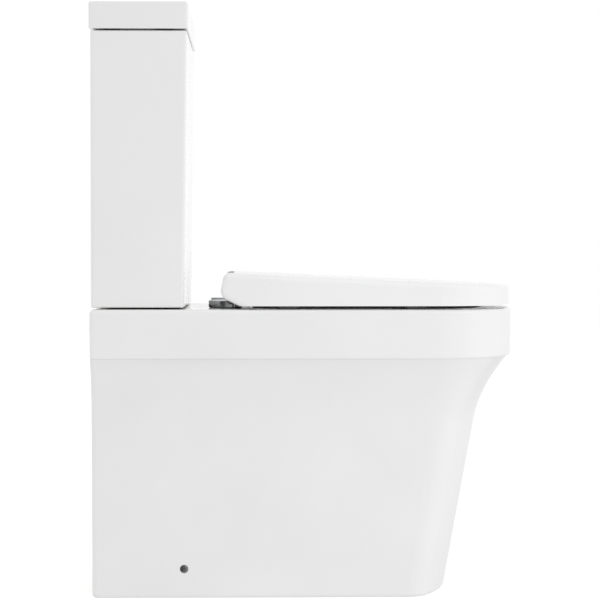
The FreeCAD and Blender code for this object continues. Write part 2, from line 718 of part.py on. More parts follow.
def cistern_wire(z, wall, front_r, back_r):
    below_top = (CISTERN_TOP_Z - z) / CISTERN_HEIGHT
    half_width = CISTERN_HALF - CISTERN_SIDE_TAPER * below_top - wall
    front_y = CISTERN_FRONT_Y + CISTERN_FRONT_TAPER * below_top + wall
    return box_wire(half_width, front_y, CISTERN_BACK_Y - wall, front_r, back_r, z)


def cistern():
    low = cistern_wire(CISTERN_Z, 0, CISTERN_FRONT_R, CISTERN_BACK_R)
    solid = loft([low, cistern_wire(CISTERN_TOP_Z, 0, CISTERN_FRONT_R, CISTERN_BACK_R)], True)
    solid = round_level(solid, CISTERN_LOW_ROUND, CISTERN_Z)
    solid = round_level(solid, CISTERN_TOP_ROUND, CISTERN_TOP_Z)
    floor = cistern_wire(CISTERN_FLOOR_Z, CISTERN_WALL, CISTERN_INNER_R, CISTERN_INNER_R)
    mouth = cistern_wire(CISTERN_TOP_Z + PAST, CISTERN_WALL, CISTERN_INNER_R, CISTERN_INNER_R)
    low_z = CISTERN_Z - PAST
    high_z = CISTERN_FLOOR_Z + PAST
    cuts = [
        loft([floor, mouth], True),
        cylinder(VALVE_TAIL_R + VALVE_HOLE_GAP, low_z, high_z, 0, GEAR_Y),
        cylinder(FILL_NECK_R + FILL_HOLE_GAP, low_z, high_z, FILL_X, GEAR_Y),
    ]
    bolt_hole = cylinder(CISTERN_BOLT_R + BOLT_HOLE_GAP, low_z, high_z, BOLT_X, BOLT_Y)
    screw_y = CISTERN_BACK_Y - CISTERN_WALL - PAST
    screw_at = V(WALL_SCREW_SPACING / 2, screw_y, CISTERN_TOP_Z - WALL_SCREW_DROP)
    screw_run = CISTERN_WALL + 2 * PAST
    screw_hole = Part.makeCylinder(WALL_SCREW_HOLE_R, screw_run, screw_at, V(0, 1, 0))
    for hole in (bolt_hole, screw_hole):
        cuts += both_sides(hole).Solids
    return solid.cut(cuts)


def lid_wire(inset, corner_r, z):
    half_width = CISTERN_LID_WIDTH / 2 - inset
    front_y = WALL_Y - CISTERN_LID_DEPTH + inset
    return box_wire(half_width, front_y, WALL_Y - inset, corner_r, corner_r, z)


def cistern_lid():
    solid = prism(lid_wire(0, CISTERN_FRONT_R, CISTERN_LID_Z), CISTERN_LID_HEIGHT)
    solid = round_level(solid, LID_TOP_ROUND, CISTERN_LID_TOP_Z)
    solid = round_level(solid, LID_LOW_ROUND, CISTERN_LID_Z)
    lip_inset = CISTERN_LID_OVERHANG + CISTERN_FRONT_TAPER + CISTERN_WALL + LID_LIP_GAP
    lip_low_z = CISTERN_LID_Z - LID_LIP_DEPTH
    lip = prism(lid_wire(lip_inset, CISTERN_INNER_R, lip_low_z), LID_LIP_DEPTH + LID_LOW_ROUND)
    pocket_wire = lid_wire(lip_inset + LID_LIP_THICK, CISTERN_INNER_R, lip_low_z)
    pocket = prism(pocket_wire, LID_LIP_DEPTH + CISTERN_LID_HEIGHT - LID_PLATE)
    hole = cylinder(BEZEL_SLEEVE_R + BEZEL_HOLE_GAP, lip_low_z, CISTERN_LID_TOP_Z + PAST, 0, GEAR_Y)
    return solid.fuse(lip).cut([pocket, hole])


def cistern_lid_pads():
    pads = []
    x = CISTERN_HALF - CISTERN_WALL / 2
    for y in (CISTERN_FRONT_Y + LID_PAD_INSET, CISTERN_BACK_Y - LID_PAD_INSET):
        pad = block(x - LID_PAD_WIDTH / 2, x + LID_PAD_WIDTH / 2, y - LID_PAD_LENGTH / 2,
                    y + LID_PAD_LENGTH / 2, CISTERN_TOP_Z, CISTERN_LID_Z)
        pads += both_sides(pad).Solids
    return Part.makeCompound(pads)


def cistern_bolts():
    head = cylinder(BOLT_HEAD_R, BOLT_HEAD_Z, BOLT_HEAD_Z + BOLT_HEAD_HEIGHT, BOLT_X, BOLT_Y)
    end_z = BOLT_HEAD_Z - CISTERN_BOLT_LENGTH
    shank = cylinder(CISTERN_BOLT_R, end_z, BOLT_HEAD_Z, BOLT_X, BOLT_Y)
    return both_sides(head.fuse(shank).removeSplitter())


def bolt_seals():
    """Cone washers that close the bolt holes in the cistern floor."""
    hole_r = CISTERN_BOLT_R + THREAD_GAP
    plug_r = CISTERN_BOLT_R + BOLT_HOLE_GAP - THREAD_GAP
    plug_z = CISTERN_FLOOR_Z - BOLT_SEAL_PLUG
    profile = [(hole_r, plug_z), (plug_r, plug_z), (plug_r, CISTERN_FLOOR_Z),
               (BOLT_SEAL_R, CISTERN_FLOOR_Z), (BOLT_WASHER_R, BOLT_WASHER_Z), (hole_r, BOLT_WASHER_Z)]
    return both_sides(turned(profile, BOLT_X, BOLT_Y))


def bolt_washers():
    hole_r = CISTERN_BOLT_R + THREAD_GAP
    upper = tube(BOLT_WASHER_R, hole_r, BOLT_WASHER_Z, BOLT_HEAD_Z, BOLT_X, BOLT_Y)
    lower = tube(BOLT_WASHER_R, hole_r, WING_NUT_Z, LOW_WASHER_Z, BOLT_X, BOLT_Y)
    return Part.makeCompound(both_sides(upper).Solids + both_sides(lower).Solids)


def deck_washers():
    hole_r = CISTERN_BOLT_R + THREAD_GAP
    return both_sides(tube(BOLT_SEAL_R, hole_r, LOW_WASHER_Z, DECK_LOW_Z, BOLT_X, BOLT_Y))


def wing_nuts():
    low_z = WING_NUT_Z - WING_NUT_HEIGHT
    body = Part.makeCone(WING_NUT_TIP_R, WING_NUT_R, WING_NUT_HEIGHT, V(BOLT_X, BOLT_Y, low_z))
    half = WING_THICK / 2
    wings = block(BOLT_X - half, BOLT_X + half, BOLT_Y - WING_SPAN, BOLT_Y + WING_SPAN,
                  low_z - WING_THICK, WING_NUT_Z - WING_THICK)
    tips = [edge for edge in wings.Edges if abs(edge.CenterOfMass.x - BOLT_X) < TINY]
    wings = wings.makeFillet(WING_ROUND, tips)
    hole = cylinder(CISTERN_BOLT_R + THREAD_GAP, low_z - PAST, WING_NUT_Z + PAST, BOLT_X, BOLT_Y)
    return both_sides(body.fuse(wings).cut(hole))


def close_coupling_gasket():
    """Foam doughnut round the flush valve's back nut, which carries the cistern off the deck."""
    nut_r = VALVE_NUT_R + GASKET_LIP
    step_z = CISTERN_Z - VALVE_NUT_HEIGHT - GASKET_LIP
    profile = [(INLET_R, RECESS_Z), (GASKET_R, RECESS_Z), (GASKET_R, CISTERN_Z),
               (nut_r, CISTERN_Z), (nut_r, step_z), (INLET_R, step_z)]
    return turned(profile, 0, GEAR_Y)


# Flush valve

def valve_base():
    tail_z = CISTERN_Z - VALVE_TAIL_DROP
    profile = [(VALVE_BORE_R, tail_z), (VALVE_TAIL_R, tail_z), (VALVE_TAIL_R, GEAR_BASE_Z),
               (VALVE_FLANGE_R, GEAR_BASE_Z), (VALVE_FLANGE_R, VALVE_FLANGE_Z),
               (VALVE_TAIL_R, VALVE_FLANGE_Z), (VALVE_TAIL_R, VALVE_SEAT_Z),
               (VALVE_BORE_R, VALVE_SEAT_Z)]
    return turned(profile, 0, GEAR_Y)


def valve_base_seal():
    return tube(VALVE_FLANGE_R, VALVE_TAIL_R + THREAD_GAP, CISTERN_FLOOR_Z, GEAR_BASE_Z, 0, GEAR_Y)


def valve_back_nut():
    low_z = CISTERN_Z - VALVE_NUT_HEIGHT
    nut = tube(VALVE_NUT_R, VALVE_TAIL_R + THREAD_GAP, low_z, CISTERN_Z, 0, GEAR_Y)
    grips = []
    for i in range(NUT_LOBES):
        turn = 2 * math.pi * i / NUT_LOBES
        x = (VALVE_NUT_R + NUT_LOBE_R / 2) * math.cos(turn)
        y = GEAR_Y + (VALVE_NUT_R + NUT_LOBE_R / 2) * math.sin(turn)
        grips.append(cylinder(NUT_LOBE_R, low_z - PAST, CISTERN_Z + PAST, x, y))
    return nut.cut(grips)


def around_tower(radius, step):
    """Places round the valve's axis, one to a leg, turned by a share of the space between legs."""
    places = []
    for i in range(TOWER_LEGS):
        turn = 2 * math.pi / TOWER_LEGS * (i + step)
        places.append((radius * math.cos(turn), GEAR_Y + radius * math.sin(turn)))
    return places


def valve_tower():
    """Open cage of legs and a guide disc round the overflow tube."""
    guide_z = VALVE_FLANGE_Z + TOWER_GUIDE_HEIGHT
    guide_top_z = guide_z + TOWER_GUIDE_THICK
    guide = tube(TOWER_LEG_CIRCLE_R, OVERFLOW_R + SLIDE_GAP, guide_z, guide_top_z, 0, GEAR_Y)
    windows = []
    for x, y in around_tower((OVERFLOW_R + TOWER_LEG_CIRCLE_R) / 2, 0):
        windows.append(cylinder(TOWER_WINDOW_R, guide_z - PAST, guide_top_z + PAST, x, y))
    legs = []
    for x, y in around_tower(TOWER_LEG_CIRCLE_R, 0.5):
        legs.append(cylinder(TOWER_LEG_R, VALVE_FLANGE_Z, HEAD_Z, x, y))
    return guide.cut(windows).fuse(legs).removeSplitter()


def valve_head():
    """Closed actuator housing that the push rods work on."""
    skirt_z = HEAD_Z + HEAD_SKIRT_HEIGHT
    waist_z = skirt_z + HEAD_R - HEAD_WAIST_R
    profile = [(0, HEAD_Z), (HEAD_R, HEAD_Z), (HEAD_R, skirt_z), (HEAD_WAIST_R, waist_z),
               (HEAD_WAIST_R, HEAD_TOP_Z), (0, HEAD_TOP_Z)]
    guide_r = PUSH_ROD_R + SLIDE_GAP
    guide_z = PUSH_ROD_Z - BUTTON_TRAVEL - PUSH_ROD_SPARE
    guides = []
    for x in (FULL_ROD_X, HALF_ROD_X):
        guides.append(cylinder(guide_r, guide_z, HEAD_TOP_Z + PAST, x, GEAR_Y))
    return turned(profile, 0, GEAR_Y).cut(guides)


def valve_seal():
    return tube(VALVE_SEAL_R, OVERFLOW_R - OVERFLOW_WALL, VALVE_SEAL_Z, OVERFLOW_Z, 0, GEAR_Y)


def overflow_tube():
    bore_r = OVERFLOW_R - OVERFLOW_WALL
    flange_z = OVERFLOW_Z + OVERFLOW_FLANGE_THICK
    top_z = HEAD_Z - FLUSH_LIFT - OVERFLOW_WALL
    profile = [(bore_r, OVERFLOW_Z), (OVERFLOW_FLANGE_R, OVERFLOW_Z), (OVERFLOW_FLANGE_R, flange_z),
               (OVERFLOW_R, flange_z), (OVERFLOW_R, top_z), (bore_r, top_z)]
    return turned(profile, 0, GEAR_Y)


# Fill valve

def fill_valve_body():
    shank_z = CISTERN_Z - FILL_SHANK_DROP
    neck_z = CISTERN_Z - FILL_NUT_HEIGHT - FILL_NECK_SPARE
    stop_low_z = FLOAT_STOP_Z - FLOAT_STOP_THICK
    profile = [(FILL_SHANK_BORE_R, shank_z), (FILL_SHANK_R, shank_z), (FILL_SHANK_R, neck_z),
               (FILL_NECK_R, neck_z), (FILL_NECK_R, GEAR_BASE_Z),
               (FILL_FLANGE_R, GEAR_BASE_Z), (FILL_FLANGE_R, FILL_FLANGE_Z),
               (FILL_COLUMN_R, FILL_FLANGE_Z), (FILL_COLUMN_R, stop_low_z),
               (FLOAT_STOP_R, stop_low_z), (FLOAT_STOP_R, FLOAT_STOP_Z), (FILL_COLUMN_R, FLOAT_STOP_Z),
               (FILL_COLUMN_R, FILL_HEAD_Z), (FILL_SHANK_BORE_R, FILL_HEAD_Z)]
    return turned(profile, FILL_X, GEAR_Y)


def fill_valve_seal():
    return tube(FILL_FLANGE_R, FILL_NECK_R + THREAD_GAP, CISTERN_FLOOR_Z, GEAR_BASE_Z, FILL_X, GEAR_Y)


def fill_valve_nut():
    low_z = CISTERN_Z - FILL_NUT_HEIGHT
    nut = hexagon(FILL_NUT_FLATS, low_z, CISTERN_Z, FILL_X, GEAR_Y)
    hole_r = FILL_NECK_R + THREAD_GAP
    return nut.cut(cylinder(hole_r, low_z - PAST, CISTERN_Z + PAST, FILL_X, GEAR_Y))


def fill_valve_head():
    cap = cylinder(FILL_HEAD_R, FILL_HEAD_Z, FILL_HEAD_TOP_Z, FILL_X, GEAR_Y)
    cap = round_level(cap, FILL_HEAD_ROUND, FILL_HEAD_TOP_Z)
    ear_in = LEVER_WIDTH / 2 + LEVER_EAR_GAP
    ears = []
    for x in (FILL_X - ear_in - LEVER_EAR_THICK, FILL_X + ear_in):
        foot = block(x, x + LEVER_EAR_THICK, LEVER_Y - LEVER_BOSS_R, LEVER_Y + LEVER_BOSS_R / 2,
                     FILL_HEAD_TOP_Z - FILL_HEAD_ROUND, LEVER_Z)
        eye = cross_rod(LEVER_BOSS_R, x, x + LEVER_EAR_THICK, LEVER_Y, LEVER_Z)
        ears.append(foot.fuse(eye))
    hole = cross_rod(LEVER_PIN_R + PIN_GAP, FILL_X - FILL_HEAD_R, FILL_X + FILL_HEAD_R, LEVER_Y, LEVER_Z)
    return cap.fuse(ears).cut(hole)


def fill_float():
    """Float cup that slides on the column, with a lug for its rod."""
    top_z = FLOAT_Z + FLOAT_HEIGHT
    cup = tube(FLOAT_R, FILL_COLUMN_R + SLIDE_GAP, FLOAT_Z, top_z, FILL_X, GEAR_Y)
    lug_z = top_z - FLOAT_LUG_THICK
    half = FLOAT_LUG_WIDTH / 2
    lug_back_y = GEAR_Y - FLOAT_R + half
    lug = block(FILL_X - half, FILL_X + half, FLOAT_ROD_Y - half, lug_back_y, lug_z, top_z)
    hole = cylinder(FLOAT_ROD_R + THREAD_GAP, lug_z - PAST, top_z + PAST, FILL_X, FLOAT_ROD_Y)
    return cup.fuse(lug).removeSplitter().cut(hole)


def float_rod():
    """Thin rod up to the lever, with a collar above the lug and one each side of the lever's fork."""
    lug_top_z = FLOAT_Z + FLOAT_HEIGHT
    half_gap = LEVER_THICK / 2 + LEVER_COLLAR_GAP
    collars = [lug_top_z, LEVER_Z - half_gap - FLOAT_COLLAR_THICK, LEVER_Z + half_gap]
    profile = [(0, lug_top_z - FLOAT_LUG_THICK), (FLOAT_ROD_R, lug_top_z - FLOAT_LUG_THICK)]
    for low_z in collars:
        top_z = low_z + FLOAT_COLLAR_THICK
        profile += [(FLOAT_ROD_R, low_z), (FLOAT_COLLAR_R, low_z)]
        profile += [(FLOAT_COLLAR_R, top_z), (FLOAT_ROD_R, top_z)]
    end_z = top_z + FLOAT_COLLAR_THICK
    profile += [(FLOAT_ROD_R, end_z), (0, end_z)]
    return turned(profile, FILL_X, FLOAT_ROD_Y)


def fill_lever():
    """Arm from the head's pivot to a fork round the float rod."""
    half = LEVER_WIDTH / 2
    end_y = FLOAT_ROD_Y - LEVER_END
    low_z = LEVER_Z - LEVER_THICK / 2
    bar = block(FILL_X - half, FILL_X + half, end_y, LEVER_Y, low_z, low_z + LEVER_THICK)
    boss = cross_rod(LEVER_BOSS_R, FILL_X - half, FILL_X + half, LEVER_Y, LEVER_Z)
    slot_half = FLOAT_ROD_R + LEVER_FORK_GAP
    slot = block(FILL_X - slot_half, FILL_X + slot_half, end_y - PAST, FLOAT_ROD_Y + LEVER_END,
                 LEVER_Z - LEVER_THICK, LEVER_Z + LEVER_THICK)
    hole = cross_rod(LEVER_PIN_R + PIN_GAP, FILL_X - LEVER_WIDTH, FILL_X + LEVER_WIDTH, LEVER_Y, LEVER_Z)
    return bar.fuse(boss).cut([slot, hole])


def lever_pin():
    half = LEVER_WIDTH / 2 + LEVER_EAR_GAP + LEVER_EAR_THICK
    return cross_rod(LEVER_PIN_R, FILL_X - half, FILL_X + half, LEVER_Y, LEVER_Z)


# Flush plate

def button_bezel():
    """Flanged cup in the lid, with a floor that guides the push rods."""
    floor_z = BEZEL_LOW_Z + BEZEL_FLOOR
    profile = [(0, BEZEL_LOW_Z), (BEZEL_SLEEVE_R, BEZEL_LOW_Z), (BEZEL_SLEEVE_R, CISTERN_LID_TOP_Z),
               (BEZEL_R, CISTERN_LID_TOP_Z), (BEZEL_R - BEZEL_RISE / 2, BEZEL_TOP_Z),
               (BEZEL_BORE_R, BEZEL_TOP_Z), (BEZEL_BORE_R, floor_z), (0, floor_z)]
    holes = []
    for x in (FULL_ROD_X, HALF_ROD_X):
        holes.append(cylinder(PUSH_ROD_R + BUTTON_GAP, BEZEL_LOW_Z - PAST, floor_z + PAST, x, GEAR_Y))
    return turned(profile, 0, GEAR_Y).cut(holes)


def button_nut():
    top_z = CISTERN_LID_TOP_Z - LID_PLATE
    return tube(BEZEL_NUT_R, BEZEL_SLEEVE_R + THREAD_GAP, top_z - BEZEL_NUT_HEIGHT, top_z, 0, GEAR_Y)


def flush_button(x_low, x_high):
    """One part of the split round button."""
    round_button = cylinder(BEZEL_BORE_R - BUTTON_GAP, BUTTON_Z, BUTTON_TOP_Z, 0, GEAR_Y)
    side = block(x_low, x_high, GEAR_Y - BEZEL_R, GEAR_Y + BEZEL_R, BUTTON_Z, BUTTON_TOP_Z)
    return round_level(round_button.common(side), BUTTON_ROUND, BUTTON_TOP_Z)


def push_rod(x):
    return cylinder(PUSH_ROD_R, PUSH_ROD_Z, BUTTON_Z, x, GEAR_Y)


def tangent_arc(start, corner, end):
    """Arc between two points whose tangents meet at the corner."""
    base = (start + end) * 0.5
    rise = corner - base
    turn = math.atan2(rise.Length, (end - base).Length)
    return arc(start, base + rise * (math.tan(turn / 2) / math.tan(turn)), end)


def coil_point(angle, climb):
    """Place on a coil at an angle, and the unit tangent there."""
    place = V(SPRING_COIL_R * math.cos(angle), SPRING_COIL_R * math.sin(angle), climb * angle)
    tangent = V(-SPRING_COIL_R * math.sin(angle), SPRING_COIL_R * math.cos(angle), climb)
    return place, tangent.normalize()


def coil_span(start, end, climb):
    """Two tangent arcs along the coil between two angles."""
    low, low_way = coil_point(start, climb)
    high, high_way = coil_point(end, climb)
    chord = high - low
    bend = 1 - low_way.dot(high_way)
    along = chord.dot(low_way + high_way)
    reach = (math.sqrt(along * along + 2 * bend * chord.dot(chord)) - along) / (2 * bend)
    low_corner = low + low_way * reach
    high_corner = high - high_way * reach
    joint = (low_corner + high_corner) * 0.5
    return [tangent_arc(low, low_corner, joint), tangent_arc(joint, high_corner, high)]


def button_spring(x):
    """Return spring round a push rod, from the bezel's floor to the button."""
    low_z = BEZEL_LOW_Z + BEZEL_FLOOR + SPRING_WIRE_R
    height = BUTTON_Z - SPRING_WIRE_R - low_z
    climb = height / (2 * math.pi * SPRING_TURNS)
    span = 2 * math.pi / SPRING_SPANS
    edges = []
    for i in range(SPRING_TURNS * SPRING_SPANS):
        edges += coil_span(i * span, (i + 1) * span, climb)
    start, way = coil_point(0, climb)
    section = Part.Wire(Part.makeCircle(SPRING_WIRE_R, start, way))
    spring = Part.Wire(edges).makePipeShell([section], True, False)
    spring.translate(V(x, GEAR_Y, low_z))
    return spring


# Seat hinges

def hinge_posts():
    """Chrome disc on the deck with a neck up to the hinge barrel."""
    disc = cylinder(DISC_R, DISC_Z, DISC_TOP_Z, HINGE_X, HINGE_BOLT_Y)
    disc = round_level(disc, DISC_ROUND, DISC_TOP_Z)
    barrel = cross_rod(HINGE_BARREL_R, POST_INNER_X, POST_OUTER_X, HINGE_Y, HINGE_Z)
    back_y = HINGE_Y + HINGE_NECK_BACK
    neck_points = [
        V(0, HINGE_Y - HINGE_NECK_FRONT, DISC_TOP_Z - DISC_ROUND),
        V(0, back_y, DISC_TOP_Z - DISC_ROUND),
        V(0, back_y, DISC_TOP_Z + DISC_ROUND),
        V(0, HINGE_Y + HINGE_BARREL_R - TINY, HINGE_Z - HINGE_NECK_TOP),
        V(0, HINGE_Y - HINGE_BARREL_R + TINY, HINGE_Z - HINGE_NECK_TOP),
    ]
    edges = [line(a, b) for a, b in zip(neck_points, neck_points[1:] + neck_points[:1])]
    neck = side_prism(edges, POST_INNER_X, POST_OUTER_X)
    pin_r = HINGE_PIN_R + PIN_GAP
    pin_hole = cross_rod(pin_r, POST_INNER_X - PAST, POST_OUTER_X + PAST, HINGE_Y, HINGE_Z)
    stud_top_z = DISC_Z + STUD_GRIP
    stud_hole = cylinder(STUD_R + THREAD_GAP, DISC_Z - PAST, stud_top_z, HINGE_X, HINGE_BOLT_Y)
    return both_sides(disc.fuse([neck, barrel]).cut([pin_hole, stud_hole]))


def hinge_gaskets():
    outer_r = DISC_R - HINGE_GASKET_INSET
    return both_sides(tube(outer_r, STUD_R + STUD_HOLE_GAP, DECK_Z, DISC_Z, HINGE_X, HINGE_BOLT_Y))


def hinge_pins():
    x_low = RING_KNUCKLE_X - HINGE_PIN_END
    x_high = LID_KNUCKLE_X + KNUCKLE_LENGTH + HINGE_PIN_END
    return both_sides(cross_rod(HINGE_PIN_R, x_low, x_high, HINGE_Y, HINGE_Z))


def damper(x):
    """Soft-close cartridge in a knuckle, turning on the hinge pin."""
    shell = cross_rod(DAMPER_R, x, x + KNUCKLE_LENGTH, HINGE_Y, HINGE_Z)
    bore = cross_rod(HINGE_PIN_R + PIN_GAP, x - PAST, x + KNUCKLE_LENGTH + PAST, HINGE_Y, HINGE_Z)
    return both_sides(shell.cut(bore))


def hinge_studs():
    top_z = DISC_Z + STUD_GRIP
    return both_sides(cylinder(STUD_R, top_z - STUD_LENGTH, top_z, HINGE_X, HINGE_BOLT_Y))


def hinge_washers():
    """Plug washers that centre the studs in the deck holes."""
    hole_r = STUD_R + THREAD_GAP
    plug_r = STUD_R + STUD_HOLE_GAP - THREAD_GAP
    plug_z = DECK_LOW_Z + STUD_WASHER_PLUG
    profile = [(hole_r, STUD_NUT_TOP_Z), (STUD_WASHER_R, STUD_NUT_TOP_Z), (STUD_WASHER_R, DECK_LOW_Z),
               (plug_r, DECK_LOW_Z), (plug_r, plug_z), (hole_r, plug_z)]
    return both_sides(turned(profile, HINGE_X, HINGE_BOLT_Y))


def hinge_nuts():
    low_z = STUD_NUT_TOP_Z - STUD_NUT_HEIGHT
    nut = hexagon(STUD_NUT_FLATS, low_z, STUD_NUT_TOP_Z, HINGE_X, HINGE_BOLT_Y)
    hole = cylinder(STUD_R + THREAD_GAP, low_z - PAST, STUD_NUT_TOP_Z + PAST, HINGE_X, HINGE_BOLT_Y)
    return both_sides(nut.cut(hole))


# Seat lid and seat ring

def lid_top_z(y, shell):
    share = (LID_REAR_Y - y) / (LID_REAR_Y - SEAT_FRONT_Y)
    return LID_LOW_Z + LID_REAR_THICK + (LID_FRONT_THICK - LID_REAR_THICK) * share - shell


def heel_point(radius, degrees):
    """Point on the round of the heel, by its angle from straight back."""
    angle = math.radians(degrees)
    return V(0, LID_HEEL_Y + radius * math.cos(angle), HINGE_Z + radius * math.sin(angle))


def heel_low(shell, z):
    """Where the slope under the heel reaches a height."""
    start = heel_point(LID_HEEL_ROUND - shell, LID_HEEL_SLOPE - 90)
    run = (start.z - z) / math.tan(math.radians(LID_HEEL_SLOPE))
    return V(0, start.y - run, z)


LID_FLOOR = heel_low(LID_SHELL, LID_LOW_Z)
LID_SWEEP_R = math.hypot(LID_FLOOR.y - HINGE_Y, LID_FLOOR.z - HINGE_Z)
RING_BACK_Y = HINGE_Y - LID_SWEEP_R - RING_BACK_GAP


def lid_form(shell):
    """The lid's outside, or with a shell thickness its inside: a wedge with a rounded heel."""
    low_z = LID_LOW_Z - (PAST if shell else 0)
    radius = LID_HEEL_ROUND - shell
    front_y = SEAT_FRONT_Y - PAST
    slope_end = heel_point(radius, LID_HEEL_SLOPE - 90)
    back_start = heel_point(radius, LID_BACK_LEAN)
    lean = math.tan(math.radians(LID_BACK_LEAN))
    fall = (LID_REAR_THICK - LID_FRONT_THICK) / (LID_REAR_Y - SEAT_FRONT_Y)
    rise = (lid_top_z(back_start.y, shell) - back_start.z) / (1 + fall * lean)
    top_back = V(0, back_start.y - rise * lean, back_start.z + rise)
    top_front = V(0, front_y, lid_top_z(front_y, shell))
    low_front = V(0, front_y, low_z)
    low_back = heel_low(shell, low_z)
    wedge = side_prism([
        line(low_back, slope_end),
        arc(slope_end, heel_point(radius, 0), back_start),
        line(back_start, top_back),
        line(top_back, top_front),
        line(top_front, low_front),
        line(low_front, low_back),
    ], -RIM_HALF, RIM_HALF)
    inset = SEAT_INSET + shell
    back_y = LID_REAR_Y + LID_EDGE_ROUND + PAST
    outline = d_wire(RIM_HALF - inset, FRONT_Y + inset, back_y, RIM_CORNER_R - inset,
                     RIM_FRONT_R - inset, LID_EDGE_ROUND, low_z)
    return prism(outline, LID_REAR_THICK + 2 * PAST).common(wedge)


def lid_round_edges(solid):
    """Edges round the top of the lid and down the sides of its heel."""
    half = RIM_HALF - SEAT_INSET
    heel_y = heel_low(0, LID_LOW_Z).y
    found = []
    for edge in solid.Edges:
        points = [vertex.Point for vertex in edge.Vertexes]
        points.append(edge.valueAt((edge.FirstParameter + edge.LastParameter) / 2))
        on_top = all(abs(point.z - lid_top_z(point.y, 0)) < TINY for point in points)
        on_heel = all(abs(abs(point.x) - half) < TINY and point.y > heel_y - TINY for point in points)
        if on_top or on_heel:
            found.append(edge)
    return found


def seat_lid():
    solid = lid_form(0)
    solid = solid.makeFillet(LID_EDGE_ROUND, lid_round_edges(solid))
    top_z = LID_LOW_Z + LID_REAR_THICK
    inside = lid_form(LID_SHELL)
    half = LID_NOTCH_HALF
    low_z = LID_LOW_Z - PAST
    back_y = LID_REAR_Y + PAST
    notch_y = HINGE_Y + LID_NOTCH_REACH
    notch = block(-half, half, notch_y, back_y, low_z, top_z + PAST)
    hinge_room_y = HINGE_Y - LID_NOTCH_FRONT
    hinge_room = block(-half, half, hinge_room_y, back_y, low_z, HINGE_Z + LID_NOTCH_TOP)
    shell = solid.cut([inside, notch, hinge_room])
    x_low = LID_KNUCKLE_X
    x_high = LID_KNUCKLE_X + KNUCKLE_LENGTH
    knuckle = cross_rod(KNUCKLE_R, x_low, x_high, HINGE_Y, HINGE_Z)
    web = block(x_low, x_high, HINGE_Y - KNUCKLE_R, notch_y, HINGE_Z, top_z).common(inside)
    bore = cross_rod(DAMPER_R + DAMPER_GAP, x_low - PAST, x_high + PAST, HINGE_Y, HINGE_Z)
    lugs = both_sides(knuckle.fuse(web)).Solids
    return shell.fuse(lugs).cut(both_sides(bore).Solids)


def seat_ring():
    corner_r = RIM_CORNER_R - RING_INSET
    front_r = RIM_FRONT_R - RING_INSET
    outline = d_wire(RIM_HALF - RING_INSET, FRONT_Y + RING_INSET, RING_BACK_Y,
                     corner_r, front_r, RING_BACK_R, RING_LOW_Z)
    hole_half = BOWL_HALF - RING_OVERHANG
    hole_front_y = BOWL_FRONT_Y + RING_OVERHANG
    hole = d_wire(hole_half, hole_front_y, RING_BACK_Y - RING_BACK_LAND,
                  RING_HOLE_CORNER_R, RING_HOLE_FRONT_R, RING_HOLE_BACK_R, RING_LOW_Z)
    solid = prism(outline, RING_THICK).cut(prism(hole, RING_THICK))
    solid = round_level(solid, RING_ROUND, RING_TOP_Z)
    x_low = RING_KNUCKLE_X
    x_high = RING_KNUCKLE_X + KNUCKLE_LENGTH
    knuckle = cross_rod(KNUCKLE_R, x_low, x_high, HINGE_Y, HINGE_Z)
    arm_y = RING_BACK_Y - RING_ARM_ROOT
    arm = block(x_low, x_high, arm_y, HINGE_Y, HINGE_Z - KNUCKLE_R, RING_TOP_Z)
    bore = cross_rod(DAMPER_R + DAMPER_GAP, x_low - PAST, x_high + PAST, HINGE_Y, HINGE_Z)
    lugs = both_sides(knuckle.fuse(arm)).Solids
    return solid.fuse(lugs).cut(both_sides(bore).Solids)


def ring_buffers():
    buffers = []
    x = RIM_HALF - RING_BUFFER_INSET
    half_width = RING_BUFFER_WIDTH / 2
    middle_z = (DECK_Z + RING_LOW_Z) / 2
    for setback in (RING_BUFFER_FRONT, RING_BUFFER_REAR):
        y_low = FRONT_Y + setback - RING_BUFFER_LENGTH / 2
        y_high = y_low + RING_BUFFER_LENGTH
        pad = block(x - half_width, x + half_width, y_low, y_high, DECK_Z, RING_LOW_Z)
        uprights = [edge for edge in pad.Edges if abs(edge.CenterOfMass.z - middle_z) < TINY]
        buffers += both_sides(pad.makeFillet(RING_BUFFER_ROUND, uprights)).Solids
    return Part.makeCompound(buffers)


def lid_buffers():
    """Round stops inside the lid that meet the top of the ring."""
    inside = lid_form(LID_SHELL)
    x = RIM_HALF - LID_BUFFER_INSET
    buffers = []
    for setback in (RING_BUFFER_FRONT, RING_BUFFER_REAR):
        stop = cylinder(LID_BUFFER_R, RING_TOP_Z, LID_LOW_Z + LID_REAR_THICK, x, FRONT_Y + setback)
        buffers += both_sides(stop.common(inside)).Solids
    return Part.makeCompound(buffers)


# Side fixing to the floor

def skirt_half(z):
    """Half the width of the skirt at a height."""
    return RIM_HALF - skirt_inset(z, COVE_SIDE_INSET, FOOT_SIDE_INSET)


SIDE_FACE_X = skirt_half(SIDE_HOLE_HEIGHT)
CAP_FACE_X = SIDE_FACE_X - SIDE_CAP_RECESS
CAP_BACK_X = CAP_FACE_X - SIDE_CAP_THICK
SCREW_SEAT_X = CAP_BACK_X - SIDE_SCREW_HEAD_THICK


def side_caps():
    """Slightly domed metal cap in the mouth of each side hole."""
    radius = SIDE_HOLE_R - SIDE_CAP_GAP
    disc = cross_rod(radius, CAP_BACK_X, CAP_FACE_X, SIDE_HOLE_Y, SIDE_HOLE_HEIGHT)
    rim = [edge for edge in disc.Edges if abs(edge.CenterOfMass.x - CAP_FACE_X) < TINY]
    return both_sides(disc.makeFillet(SIDE_CAP_DOME, rim))


